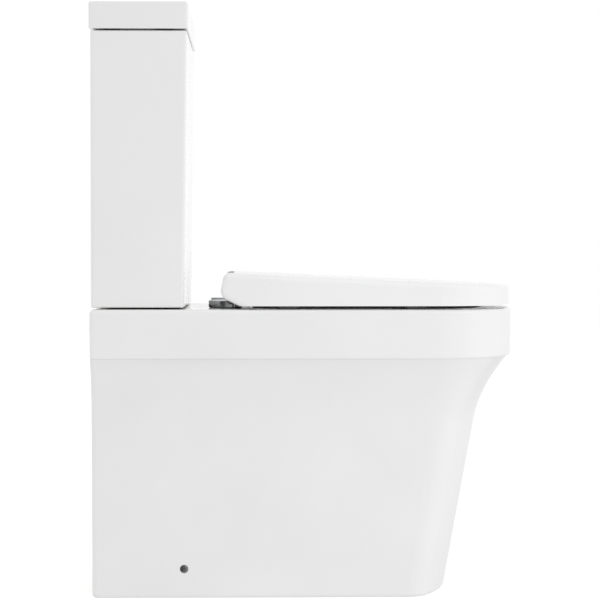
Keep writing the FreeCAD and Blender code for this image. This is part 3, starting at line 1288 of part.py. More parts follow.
def side_screws():
    head = cross_rod(SIDE_SCREW_HEAD_R, SCREW_SEAT_X, CAP_BACK_X, SIDE_HOLE_Y, SIDE_HOLE_HEIGHT)
    shank_end = SCREW_SEAT_X - SIDE_SCREW_LENGTH
    shank = cross_rod(SIDE_SCREW_R, shank_end, SCREW_SEAT_X, SIDE_HOLE_Y, SIDE_HOLE_HEIGHT)
    return both_sides(head.fuse(shank).removeSplitter())


def side_sleeves():
    """Plastic bush that centres the screw in the china and bears on the bracket."""
    outer_r = SIDE_HOLE_R - SLEEVE_GAP
    outer = cross_rod(outer_r, BRACKET_FACE_X, SCREW_SEAT_X, SIDE_HOLE_Y, SIDE_HOLE_HEIGHT)
    bore_r = SIDE_SCREW_R + SLEEVE_GAP
    bore_start = BRACKET_FACE_X - PAST
    bore = cross_rod(bore_r, bore_start, SIDE_FACE_X, SIDE_HOLE_Y, SIDE_HOLE_HEIGHT)
    return both_sides(outer.cut(bore))


def floor_brackets():
    """L-shaped brackets screwed to the floor inside the skirt."""
    y_low = SIDE_HOLE_Y - BRACKET_LENGTH / 2
    y_high = SIDE_HOLE_Y + BRACKET_LENGTH / 2
    inner_x = BRACKET_FACE_X - BRACKET_FOOT
    foot = block(inner_x, BRACKET_FACE_X, y_low, y_high, 0, BRACKET_THICK)
    leg = block(BRACKET_FACE_X - BRACKET_THICK, BRACKET_FACE_X, y_low, y_high, 0, BRACKET_HEIGHT)
    boss_end = BRACKET_FACE_X - BRACKET_THICK - BRACKET_BOSS_LENGTH
    boss = cross_rod(BRACKET_BOSS_R, boss_end, BRACKET_FACE_X, SIDE_HOLE_Y, SIDE_HOLE_HEIGHT)
    screw_r = SIDE_SCREW_R + THREAD_GAP
    screw_end = boss_end - PAST
    screw_hole = cross_rod(screw_r, screw_end, SIDE_FACE_X, SIDE_HOLE_Y, SIDE_HOLE_HEIGHT)
    floor_x = BRACKET_FACE_X - (BRACKET_FOOT + BRACKET_THICK) / 2
    floor_hole = cylinder(FLOOR_HOLE_R, -PAST, BRACKET_THICK + PAST, floor_x, SIDE_HOLE_Y)
    return both_sides(foot.fuse([leg, boss]).removeSplitter().cut([screw_hole, floor_hole]))


SUBPARTS = {
    "pan": pan(),
    "pan_bowl": pan_bowl(),
    "pan_trap": pan_trap(),
    "pan_flush_way": pan_flush_way(),
    "cistern": cistern(),
    "cistern_lid": cistern_lid(),
    "cistern_lid_pads": cistern_lid_pads(),
    "cistern_bolts": cistern_bolts(),
    "bolt_seals": bolt_seals(),
    "bolt_washers": bolt_washers(),
    "deck_washers": deck_washers(),
    "wing_nuts": wing_nuts(),
    "close_coupling_gasket": close_coupling_gasket(),
    "valve_base": valve_base(),
    "valve_base_seal": valve_base_seal(),
    "valve_back_nut": valve_back_nut(),
    "valve_tower": valve_tower(),
    "valve_head": valve_head(),
    "valve_seal": valve_seal(),
    "overflow_tube": overflow_tube(),
    "fill_valve_body": fill_valve_body(),
    "fill_valve_seal": fill_valve_seal(),
    "fill_valve_nut": fill_valve_nut(),
    "fill_valve_head": fill_valve_head(),
    "fill_float": fill_float(),
    "float_rod": float_rod(),
    "fill_lever": fill_lever(),
    "lever_pin": lever_pin(),
    "button_bezel": button_bezel(),
    "button_nut": button_nut(),
    "full_flush_button": flush_button(BUTTON_SPLIT_X + BUTTON_GAP / 2, BEZEL_R),
    "half_flush_button": flush_button(-BEZEL_R, BUTTON_SPLIT_X - BUTTON_GAP / 2),
    "full_flush_rod": push_rod(FULL_ROD_X),
    "half_flush_rod": push_rod(HALF_ROD_X),
    "full_flush_spring": button_spring(FULL_ROD_X),
    "half_flush_spring": button_spring(HALF_ROD_X),
    "hinge_posts": hinge_posts(),
    "hinge_gaskets": hinge_gaskets(),
    "hinge_pins": hinge_pins(),
    "hinge_studs": hinge_studs(),
    "hinge_washers": hinge_washers(),
    "hinge_nuts": hinge_nuts(),
    "seat_ring": seat_ring(),
    "ring_dampers": damper(RING_KNUCKLE_X),
    "ring_buffers": ring_buffers(),
    "seat_lid": seat_lid(),
    "lid_dampers": damper(LID_KNUCKLE_X),
    "lid_buffers": lid_buffers(),
    "side_caps": side_caps(),
    "side_screws": side_screws(),
    "side_sleeves": side_sleeves(),
    "floor_brackets": floor_brackets(),
}

os.makedirs("parts", exist_ok=True)
for name, shape in SUBPARTS.items():
    shape.exportStep("parts/" + name + ".step")
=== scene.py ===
import bmesh
import bpy
import json
import math
from mathutils import Matrix, Vector
from mathutils.bvhtree import BVHTree

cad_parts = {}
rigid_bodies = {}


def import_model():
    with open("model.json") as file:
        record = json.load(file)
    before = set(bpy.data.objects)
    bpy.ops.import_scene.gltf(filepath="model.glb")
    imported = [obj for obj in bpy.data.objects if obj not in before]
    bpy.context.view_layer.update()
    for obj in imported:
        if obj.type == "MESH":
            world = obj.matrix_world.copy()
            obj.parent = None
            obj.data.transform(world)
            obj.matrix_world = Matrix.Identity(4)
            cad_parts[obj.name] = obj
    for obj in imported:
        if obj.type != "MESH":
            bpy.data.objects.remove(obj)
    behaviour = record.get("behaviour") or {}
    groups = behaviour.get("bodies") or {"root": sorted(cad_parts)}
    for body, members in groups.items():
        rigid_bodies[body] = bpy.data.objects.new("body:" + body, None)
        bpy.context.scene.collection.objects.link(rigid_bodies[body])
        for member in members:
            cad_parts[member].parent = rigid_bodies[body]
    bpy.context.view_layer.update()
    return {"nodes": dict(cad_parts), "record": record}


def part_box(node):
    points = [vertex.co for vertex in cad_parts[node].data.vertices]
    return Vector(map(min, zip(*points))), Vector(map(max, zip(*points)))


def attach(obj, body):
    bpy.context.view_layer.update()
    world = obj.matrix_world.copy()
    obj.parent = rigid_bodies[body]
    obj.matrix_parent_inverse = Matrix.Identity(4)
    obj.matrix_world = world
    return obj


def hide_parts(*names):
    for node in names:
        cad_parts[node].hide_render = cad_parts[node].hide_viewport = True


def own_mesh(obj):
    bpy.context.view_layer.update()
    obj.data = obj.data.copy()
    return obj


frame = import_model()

scene = bpy.context.scene

# Camera at the photograph's angle

CAMERA_AT = Vector((-3.1094, 0.0746, 0.4990))
CAMERA_YAW = 0.0220      # turned towards the pan's front
CAMERA_PITCH = 0.0251    # looking down
FOCAL_PX = 2096.3
PHOTO_PX = 600

lens = bpy.data.cameras.new("camera")
lens.lens = FOCAL_PX * lens.sensor_width / PHOTO_PX
camera = bpy.data.objects.new("camera", lens)
scene.collection.objects.link(camera)
ahead = Vector((math.cos(CAMERA_YAW), -math.sin(CAMERA_YAW), 0.0))
right = Vector((-math.sin(CAMERA_YAW), -math.cos(CAMERA_YAW), 0.0))
ahead = ahead * math.cos(CAMERA_PITCH) - Vector((0.0, 0.0, math.sin(CAMERA_PITCH)))
up = right.cross(ahead)
turn = Matrix((right, up, -ahead)).transposed().to_4x4()
camera.matrix_world = Matrix.Translation(CAMERA_AT) @ turn
scene.camera = camera
scene.view_settings.view_transform = "Standard"

# Studio

WHITE = (1.0, 1.0, 1.0, 1.0)
CAMERA_SIDE = (-1.0, 0.0, 0.0)
BELOW = (0.0, 0.0, -1.0)
WALL_SIDE = (-0.64, 0.77, 0.0)    # beside the camera, towards the wall

# Where a level starts to change and where it stops, as cosines from its side, and both levels
ROOM_AT_CAMERA = (0.45, 0.93, 1.01, 0.54)
ROOM_BELOW = (-0.05, 0.35, 1.0, 0.89)
DARK_BELOW = (0.05, 0.45, 0.0, 0.15)
DARK_AT_WALL = (0.30, 0.85, 0.0, 0.82)

FLOOR_RADIUS = 9.0
FLOOR_SIDES = 96
FLOOR_DROP = 0.0005      # keeps the floor clear of the pan's foot
FLOOR_PAINT = {
    "Base Color": (0.75, 0.75, 0.75, 1.0),
    "Roughness": 0.9,
    "Specular IOR Level": 0.0,
    "Emission Color": WHITE,
    "Emission Strength": 0.5,
}


def studio_world():
    """White room, dimmer below and at the camera, with darker sides that only gloss shows."""
    world = bpy.data.worlds.new("studio")
    scene.world = world
    world.use_nodes = True
    nodes = world.node_tree.nodes
    links = world.node_tree.links
    nodes.clear()
    where = nodes.new("ShaderNodeTexCoord").outputs["Generated"]
    light = nodes.new("ShaderNodeBackground")
    light.inputs["Color"].default_value = WHITE
    out = nodes.new("ShaderNodeOutputWorld")

    def level(side, change):
        facing = nodes.new("ShaderNodeVectorMath")
        facing.operation = "DOT_PRODUCT"
        facing.inputs[1].default_value = side
        fade = nodes.new("ShaderNodeMapRange")
        fade.interpolation_type = "SMOOTHSTEP"
        for socket, value in zip(("From Min", "From Max", "To Min", "To Max"), change):
            fade.inputs[socket].default_value = value
        links.new(where, facing.inputs[0])
        links.new(facing.outputs["Value"], fade.inputs["Value"])
        return fade.outputs["Result"]

    def both(operation, first, second):
        node = nodes.new("ShaderNodeMath")
        node.operation = operation
        links.new(first, node.inputs[0])
        links.new(second, node.inputs[1])
        return node.outputs[0]

    room = both("MULTIPLY", level(CAMERA_SIDE, ROOM_AT_CAMERA), level(BELOW, ROOM_BELOW))
    dark = both("MAXIMUM", level(BELOW, DARK_BELOW), level(WALL_SIDE, DARK_AT_WALL))
    in_gloss = nodes.new("ShaderNodeLightPath").outputs["Is Glossy Ray"]
    kept = nodes.new("ShaderNodeMath")
    kept.operation = "SUBTRACT"
    kept.inputs[0].default_value = 1.0
    links.new(both("MULTIPLY", in_gloss, dark), kept.inputs[1])
    links.new(both("MULTIPLY", room, kept.outputs[0]), light.inputs["Strength"])
    links.new(light.outputs["Background"], out.inputs["Surface"])


def studio_floor():
    """White floor that catches the pan's shadow and lights nothing."""
    verts = [(0.0, 0.0, 0.0)]
    for i in range(FLOOR_SIDES):
        angle = 2 * math.pi * i / FLOOR_SIDES
        verts.append((FLOOR_RADIUS * math.cos(angle), FLOOR_RADIUS * math.sin(angle), 0.0))
    faces = [(0, i + 1, (i + 1) % FLOOR_SIDES + 1) for i in range(FLOOR_SIDES)]
    mesh = bpy.data.meshes.new("floor")
    mesh.from_pydata(verts, [], faces)
    floor = bpy.data.objects.new("floor", mesh)
    floor.location.z = -FLOOR_DROP
    scene.collection.objects.link(floor)
    paint = bpy.data.materials.new("floor_paint")
    paint.use_nodes = True
    shader = paint.node_tree.nodes["Principled BSDF"]
    for socket, value in FLOOR_PAINT.items():
        shader.inputs[socket].default_value = value
    mesh.materials.append(paint)
    floor.visible_diffuse = False
    floor.visible_glossy = False


def soft_light(name, at, towards, width, height, watts):
    lamp = bpy.data.lights.new(name, "AREA")
    lamp.shape = "RECTANGLE"
    lamp.size = width
    lamp.size_y = height
    lamp.energy = watts
    lamp_object = bpy.data.objects.new(name, lamp)
    scene.collection.objects.link(lamp_object)
    facing = (Vector(at) - Vector(towards)).to_track_quat("Z", "Y")
    lamp_object.matrix_world = Matrix.Translation(at) @ facing.to_matrix().to_4x4()
    lamp_object.visible_camera = False
    lamp_object.visible_glossy = False


studio_world()
studio_floor()
soft_light("front_light", at=(-2.30, -1.05, 0.28), towards=(0.0, 0.0, 0.15),
           width=1.2, height=0.8, watts=22.5)
soft_light("back_light", at=(-0.90, 2.60, 0.60), towards=(0.0, 0.1, 0.40),
           width=1.0, height=0.8, watts=7.0)

# Materials

NOISE_LOW = 0.3          # nearly all of a noise lies between these
NOISE_HIGH = 0.7


class Finish:
    """A material whose colour, gloss and relief come from its own nodes, in metres on the piece."""

    def __init__(self, name, **fixed):
        self.material = bpy.data.materials.new(name)
        self.material.use_nodes = True
        self.nodes = self.material.node_tree.nodes
        self.links = self.material.node_tree.links
        self.shader = self.nodes["Principled BSDF"]
        self.place = self.nodes.new("ShaderNodeTexCoord").outputs["Object"]
        for socket, value in fixed.items():
            self.shader.inputs[socket.replace("_", " ")].default_value = value

    def noise(self, scale, detail, rough=0.5, distortion=0.0):
        node = self.nodes.new("ShaderNodeTexNoise")
        node.inputs["Scale"].default_value = scale
        node.inputs["Detail"].default_value = detail
        node.inputs["Roughness"].default_value = rough
        node.inputs["Distortion"].default_value = distortion
        self.links.new(self.place, node.inputs["Vector"])
        return node.outputs["Fac"]

    def cells(self, scale, output):
        node = self.nodes.new("ShaderNodeTexVoronoi")
        node.inputs["Scale"].default_value = scale
        self.links.new(self.place, node.inputs["Vector"])
        return node.outputs[output]

    def spread(self, noise, low, high):
        node = self.nodes.new("ShaderNodeMapRange")
        node.inputs["From Min"].default_value = NOISE_LOW
        node.inputs["From Max"].default_value = NOISE_HIGH
        node.inputs["To Min"].default_value = low
        node.inputs["To Max"].default_value = high
        self.links.new(noise, node.inputs["Value"])
        return node.outputs["Result"]

    def ramp(self, value, *stops):
        node = self.nodes.new("ShaderNodeValToRGB")
        steps = node.color_ramp.elements
        while len(steps) < len(stops):
            steps.new(1.0)
        for step, (at, shade) in zip(steps, stops):
            step.position = at
            step.color = (*shade, 1.0)
        self.links.new(value, node.inputs["Fac"])
        return node.outputs["Color"]

    def mark(self, attribute):
        node = self.nodes.new("ShaderNodeAttribute")
        node.attribute_name = attribute
        return node.outputs["Fac"]

    def blend(self, share, first, second, kind):
        node = self.nodes.new("ShaderNodeMix")
        node.data_type = kind
        sockets = [socket for socket in node.inputs if socket.enabled]
        for socket, value in zip(sockets, (share, first, second)):
            self.links.new(value, socket)
        return [socket for socket in node.outputs if socket.enabled][0]

    def colour(self, value, *stops):
        self.links.new(self.ramp(value, *stops), self.shader.inputs["Base Color"])

    def gloss(self, noise, smooth, dull):
        self.links.new(self.spread(noise, smooth, dull), self.shader.inputs["Roughness"])

    def relief(self, value, depth, strength=1.0):
        node = self.nodes.new("ShaderNodeBump")
        node.inputs["Distance"].default_value = depth
        node.inputs["Strength"].default_value = strength
        self.links.new(value, node.inputs["Height"])
        previous = self.shader.inputs["Normal"].links
        if previous:
            self.links.new(previous[0].from_socket, node.inputs["Normal"])
        self.links.new(node.outputs["Normal"], self.shader.inputs["Normal"])


def grey(level):
    return (level, level, level)


def glazed_china():
    """White glaze, thin and even, with bare fired clay where a piece marks it."""
    look = Finish("glazed_china", Specular_IOR_Level=0.5)
    bare = look.mark("bare_clay")
    glaze = look.ramp(look.noise(scale=7.0, detail=3.0), (0.25, grey(0.80)), (0.75, grey(0.83)))
    clay = look.ramp(look.noise(scale=38.0, detail=5.0, rough=0.6),
                     (0.25, (0.60, 0.575, 0.53)), (0.75, (0.69, 0.67, 0.63)))
    look.links.new(look.blend(bare, glaze, clay, "RGBA"), look.shader.inputs["Base Color"])
    gloss = look.spread(look.noise(scale=16.0, detail=3.0), low=0.06, high=0.14)
    matt = look.spread(look.noise(scale=60.0, detail=3.0), low=0.72, high=0.88)
    look.links.new(look.blend(bare, gloss, matt, "FLOAT"), look.shader.inputs["Roughness"])
    look.relief(look.noise(scale=170.0, detail=1.0), depth=0.00006)
    look.relief(look.noise(scale=24.0, detail=1.0), depth=0.00025)
    return look.material


def seat_plastic():
    look = Finish("seat_plastic", Specular_IOR_Level=0.5)
    look.colour(look.noise(scale=9.0, detail=2.0), (0.3, grey(0.82)), (0.7, grey(0.845)))
    look.gloss(look.noise(scale=22.0, detail=4.0), smooth=0.10, dull=0.20)
    look.relief(look.noise(scale=420.0, detail=1.0), depth=0.00002)
    return look.material


def chrome():
    look = Finish("chrome", Metallic=1.0)
    # Painted shade: the colour is kept darker than bare chrome, standing in for the dark room that
    # the metal reflects
    look.colour(look.noise(scale=60.0, detail=3.0),
                (0.3, (0.36, 0.365, 0.375)), (0.7, (0.45, 0.455, 0.465)))
    look.gloss(look.noise(scale=140.0, detail=5.0, rough=0.65, distortion=0.6),
               smooth=0.05, dull=0.18)
    look.relief(look.noise(scale=900.0, detail=1.0), depth=0.000004)
    return look.material


def zinc_steel():
    """Zinc-plated steel, with the faint spangle of its plating."""
    look = Finish("zinc_steel", Metallic=1.0)
    look.colour(look.cells(650.0, "Color"), (0.1, (0.42, 0.43, 0.44)),
                (0.6, (0.58, 0.585, 0.585)), (0.9, (0.66, 0.65, 0.62)))
    look.gloss(look.noise(scale=320.0, detail=4.0), smooth=0.26, dull=0.46)
    look.relief(look.noise(scale=1500.0, detail=2.0), depth=0.00001)
    return look.material


def black_rubber():
    look = Finish("black_rubber", Specular_IOR_Level=0.35)
    look.colour(look.noise(scale=260.0, detail=4.0), (0.3, grey(0.016)), (0.7, grey(0.034)))
    look.gloss(look.noise(scale=500.0, detail=3.0), smooth=0.58, dull=0.78)
    look.relief(look.noise(scale=1800.0, detail=2.0), depth=0.00003)
    return look.material


def foam_rubber():
    look = Finish("foam_rubber", Specular_IOR_Level=0.2)
    cells = look.cells(620.0, "Distance")
    look.colour(cells, (0.1, grey(0.020)), (0.7, grey(0.060)))
    look.gloss(look.noise(scale=240.0, detail=3.0), smooth=0.80, dull=0.95)
    look.relief(cells, depth=0.0004, strength=0.8)
    return look.material


def moulded_plastic(name, dark, light, smooth, dull):
    look = Finish(name, Specular_IOR_Level=0.45)
    look.colour(look.noise(scale=45.0, detail=3.0), (0.3, dark), (0.7, light))
    look.gloss(look.noise(scale=80.0, detail=4.0), smooth, dull)
    look.relief(look.noise(scale=1300.0, detail=2.0), depth=0.00002)
    return look.material


FINISHES = {
    "glazed_china": glazed_china(),
    "seat_plastic": seat_plastic(),
    "chrome": chrome(),
    "zinc_steel": zinc_steel(),
    "black_rubber": black_rubber(),
    "foam_rubber": foam_rubber(),
    "white_plastic": moulded_plastic(
        "white_plastic", (0.70, 0.70, 0.68), (0.76, 0.76, 0.74), smooth=0.32, dull=0.48),
    "grey_plastic": moulded_plastic(
        "grey_plastic", grey(0.20), grey(0.26), smooth=0.36, dull=0.52),
    "blue_plastic": moulded_plastic(
        "blue_plastic", (0.02, 0.11, 0.30), (0.03, 0.15, 0.37), smooth=0.30, dull=0.46),
    # Painted shade: the buffers are milky plastic, but this dark grey makes the gap under the seat
    # read as shadow
    "buffer_plastic": moulded_plastic(
        "buffer_plastic", grey(0.11), grey(0.16), smooth=0.50, dull=0.65),
}

for row in frame["record"]["subparts"]:
    piece = frame["nodes"][row["node"]]
    piece.data.materials.clear()
    piece.data.materials.append(FINISHES[row["material_slot"]])

# What every made piece needs: its node's body and finish, its modifiers carried out, its shading


def body_of(node):
    bodies = frame["record"]["behaviour"]["bodies"]
    return next(body for body, nodes in bodies.items() if node in nodes)


def slot_of(node):
    rows = frame["record"]["subparts"]
    return next(row["material_slot"] for row in rows if row["node"] == node)


def stands_for(piece, node):
    """The piece takes the node's place, on its body."""
    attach(piece, body_of(node))
    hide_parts(node)


def carry_out(piece):
    """Carries out the piece's modifiers, which leaves it a plain mesh."""
    graph = bpy.context.evaluated_depsgraph_get()
    mesh = bpy.data.meshes.new_from_object(piece.evaluated_get(graph), depsgraph=graph)
    piece.modifiers.clear()
    piece.data = mesh
    return mesh


SHARP_ANGLE = math.radians(28.0)


def smooth_but_edges(mesh):
    for face in mesh.polygons:
        face.use_smooth = True
    mesh.set_sharp_from_angle(angle=SHARP_ANGLE)


# Fired clay: glazed where it shows, bare in the hollows and where it was stood to fire

DECK_LOW = 0.397         # underside of the deck
DECK_LOW_SPAN = 0.001    # faces this little below it count as the underside
FOOT_FACE = 0.0002       # flat face that stands on the floor
SAME_HEIGHT = 0.0001     # heights this close are the same
SIDE_HOLE_Y = 0.174
SIDE_HOLE_Z = 0.042
SIDE_HOLE_RADIUS = 0.0065
BOWL_AXIS_Y = -0.090
PIPE_ROOM = 0.125        # widest clear way across the trap
TRAP_MOUTH_Y = 0.100     # level stretch of the trap behind the sump
TRAP_MOUTH_Z = 0.096
TRAP_MOUTH_RADIUS = 0.0345
DUCT_HALF = 0.0385
DUCT_LOW = 0.3395
DUCT_TOP = 0.3785
INLET_RADIUS = 0.0335
GEAR_Y = 0.238           # line of the valves
LID_RIM = 0.804          # lower edge of the cistern lid
LID_RIM_SPAN = 0.002
FLAT_DOWN = -0.9         # a face that turns down at least this much is an underside
SLANTED = 0.5            # a face that turns up more than this is a top
UP_LOOK = Vector((0.0, 0.0, 0.6))
LOOK_START = 0.0004      # a look across a hollow starts this far off the face
WELD_GAP = 0.000005


def pan_bare(at, normal, sees):
    """The foot's face, the underside of the deck and the walls of the hollow stay bare."""
    in_hole = math.hypot(at.y - SIDE_HOLE_Y, at.z - SIDE_HOLE_Z) < SIDE_HOLE_RADIUS
    if at.z > DECK_LOW + SAME_HEIGHT or in_hole:
        return False
    if normal.z < FLAT_DOWN:
        return at.z < FOOT_FACE or at.z > DECK_LOW - DECK_LOW_SPAN
    return sees(normal) is not None or sees(normal + UP_LOOK) is not None


def bowl_bare(at, normal, sees):
    """The outside of the bowl stays bare."""
    outward = at.x * normal.x + (at.y - BOWL_AXIS_Y) * normal.y
    return normal.z < -SLANTED or (normal.z < SLANTED and outward > 0.0)


def trap_bare(at, normal, sees):
    """The outside of the trap stays bare: no wall is across from it at a pipe's width."""
    from_axis = math.hypot(at.x, at.z - TRAP_MOUTH_Z)
    in_mouth = at.y < TRAP_MOUTH_Y and from_axis < TRAP_MOUTH_RADIUS
    across = sees(normal)
    return not in_mouth and (across is None or across > PIPE_ROOM)


def duct_bare(at, normal, sees):
    """The outside of the duct and of its inlet stays bare."""
    in_duct = abs(at.x) < DUCT_HALF and DUCT_LOW < at.z < DUCT_TOP
    return not in_duct and math.hypot(at.x, at.y - GEAR_Y) > INLET_RADIUS


def cistern_bare(at, normal, sees):
    """The underside of the cistern stays bare."""
    return normal.z < FLAT_DOWN


def cistern_lid_bare(at, normal, sees):
    """The pocket under the lid stays bare."""
    in_pocket = at.z > LID_RIM + LID_RIM_SPAN
    ceiling = normal.z < -SLANTED and in_pocket
    return ceiling or (normal.z < SLANTED and sees(normal) is not None)


def fired_clay(node, is_bare):
    """Welded copy of a clay node, with the faces that stay unglazed marked for the glaze."""
    mesh = frame["nodes"][node].data.copy()
    weld = bmesh.new()
    weld.from_mesh(mesh)
    bmesh.ops.remove_doubles(weld, verts=weld.verts, dist=WELD_GAP)
    weld.to_mesh(mesh)
    skin = BVHTree.FromBMesh(weld)
    weld.free()
    marks = mesh.attributes.new("bare_clay", "FLOAT", "FACE")
    for face in mesh.polygons:
        start = face.center + face.normal * LOOK_START

        def sees(way):
            return skin.ray_cast(start, way.normalized())[3]

        marks.data[face.index].value = float(is_bare(face.center, face.normal, sees))
    smooth_but_edges(mesh)
    piece = bpy.data.objects.new(node + "_fired", mesh)
    scene.collection.objects.link(piece)
    even = piece.modifiers.new("even_shading", "WEIGHTED_NORMAL")
    even.keep_sharp = True
    stands_for(piece, node)
    return piece


# Mouth of the bowl, where pan and bowl are one glazed wall: two sides, a back, corners, a front bow

DECK_TOP = 0.412
DECK_TOP_SPAN = 0.00005  # faces this little below it belong to the deck
MOUTH_ROUND = 0.007      # rounding from the deck into the mouth
MOUTH_HALF = 0.132
MOUTH_FRONT = -0.257
MOUTH_BACK = 0.075
MOUTH_ROOM = 0.0005      # around the mouth and its rounding
MOUTH_TURN = 0.02        # a face of the mouth turns into the bowl more than this
BACK_CORNER = Vector((0.087, 0.030))
FRONT_CORNER = Vector((0.042, -0.16055))
FRONT_BOW = Vector((0.0, -0.027))
BOWL_DEPTH = 0.352
BOWL_EVEN_LOW = 0.385    # the bowl's shading is evened from here up
SIDE_REACH = 0.090       # how far the bowl's wall goes in on its way down to the sump
FRONT_REACH = 0.181
BACK_REACH = 0.073
TUCK = 0.00015           # the bowl's top edge stands this far back under the rim


def into_bowl(at):
    """Level way from a point of the mouth's wall to the middle of the curve it lies on."""
    x, y = abs(at.x), at.y
    bow_x = (FRONT_BOW.y - y) * FRONT_CORNER.x / (FRONT_BOW.y - FRONT_CORNER.y)
    if y > BACK_CORNER.y:
        centre = BACK_CORNER if x > BACK_CORNER.x else Vector((x, BACK_CORNER.y))
    elif y > FRONT_CORNER.y:
        centre = Vector((0.0, y))
    else:
        centre = FRONT_CORNER if x > bow_x else FRONT_BOW
    way = Vector((centre.x - x, centre.y - y, 0.0)).normalized()
    way.x = math.copysign(way.x, -at.x)
    return way


def mouth_facing(at):
    """Way that the true curve of the mouth faces at a point."""
    way = into_bowl(at)
    rise = (at.z - DECK_TOP) / MOUTH_ROUND + 1.0
    if rise > 0.0:
        rise = min(rise, 1.0)
        return way * math.sqrt(1.0 - rise * rise) + Vector((0.0, 0.0, rise))
    end_reach = FRONT_REACH if way.y > 0.0 else BACK_REACH
    reach = SIDE_REACH * way.x ** 2 + end_reach * way.y ** 2
    quarter = math.pi / 2 / BOWL_DEPTH
    slope = reach * quarter * math.sin((DECK_TOP - at.z) * quarter)
    return (way + Vector((0.0, 0.0, slope))).normalized()


def on_mouth(face, low):
    at = face.center
    room = MOUTH_ROUND + MOUTH_ROOM
    inside = abs(at.x) < MOUTH_HALF + room and MOUTH_FRONT - room < at.y < MOUTH_BACK + room
    if not inside or not low < at.z < DECK_TOP - DECK_TOP_SPAN:
        return False
    return face.normal.dot(into_bowl(at)) > MOUTH_TURN


def even_mouth(piece, low, tuck):
    """Turns the shading of the mouth's wall to its true curve, so no seam shows in the glaze."""
    mesh = carry_out(piece)
    facings = [corner.vector.copy() for corner in mesh.corner_normals]
    edge = {}
    for face in mesh.polygons:
        if not on_mouth(face, low):
            continue
        for corner, number in zip(face.loop_indices, face.vertices):
            at = mesh.vertices[number].co
            facings[corner] = mouth_facing(at)
            if at.z > DECK_LOW - SAME_HEIGHT:
                edge[number] = at - into_bowl(at) * tuck
    for number, at in edge.items():
        mesh.vertices[number].co = at
    mesh.normals_split_custom_set(facings)


even_mouth(fired_clay("pan", pan_bare), DECK_LOW, 0.0)
even_mouth(fired_clay("pan_bowl", bowl_bare), BOWL_EVEN_LOW, TUCK)
fired_clay("pan_trap", trap_bare)
fired_clay("pan_flush_way", duct_bare)
fired_clay("cistern", cistern_bare)
fired_clay("cistern_lid", cistern_lid_bare)

# Turned and threaded pieces, and springs

THREAD_CREST = 0.12      # a thread's flank goes from crest to root between these shares of its wave
THREAD_ROOT = 0.85
ROWS_PER_TURN = 8        # rows of a profile over one turn of its thread
SEAM_GAP = 0.000002      # closes a turned skin on itself
COIL_STEPS = 28          # points of a spring over one turn
WIRE_SIDES = 10


class Tree:
    """A Geometry Nodes tree with named inputs for its sizes."""

    def __init__(self, name, first, **inputs):
        self.group = bpy.data.node_groups.new(name, "GeometryNodeTree")
        face = self.group.interface
        face.new_socket(first, in_out="INPUT", socket_type="NodeSocketGeometry")
        self.ids = {}
        for label, kind in inputs.items():
            socket = face.new_socket(label, in_out="INPUT", socket_type="NodeSocket" + kind)
            self.ids[label] = socket.identifier
        face.new_socket("Piece", in_out="OUTPUT", socket_type="NodeSocketGeometry")
        self.start = self.group.nodes.new("NodeGroupInput")
        self.end = self.group.nodes.new("NodeGroupOutput")

    def node(self, kind, values, **settings):
        made = self.group.nodes.new(kind)
        for name, value in settings.items():
            setattr(made, name, value)
        for name, value in values.items():
            if isinstance(value, bpy.types.NodeSocket):
                self.group.links.new(value, made.inputs[name])
            else:
                made.inputs[name].default_value = value
        return made

    def math(self, operation, *values):
        values = dict(enumerate(values))
        return self.node("ShaderNodeMath", values, operation=operation).outputs[0]

    def size(self, label):
        return self.start.outputs[label]

    def finish(self, geometry):
        real = self.node("GeometryNodeRealizeInstances", {"Geometry": geometry})
        painted = self.node("GeometryNodeSetMaterial", {
            "Geometry": real.outputs[0], "Material": self.size("Finish")})
        self.group.links.new(painted.outputs[0], self.end.inputs[0])

    def make(self, piece, **sizes):
        """Runs the tree on a piece, and turns the faces that come of it outwards."""
        modifier = piece.modifiers.new("shape", "NODES")
        modifier.node_group = self.group
        for label, value in sizes.items():
            modifier[self.ids[label]] = value
        mesh = carry_out(piece)
        outward = bmesh.new()
        outward.from_mesh(mesh)
        bmesh.ops.recalc_face_normals(outward, faces=outward.faces)
        outward.to_mesh(mesh)
        outward.free()
        smooth_but_edges(mesh)


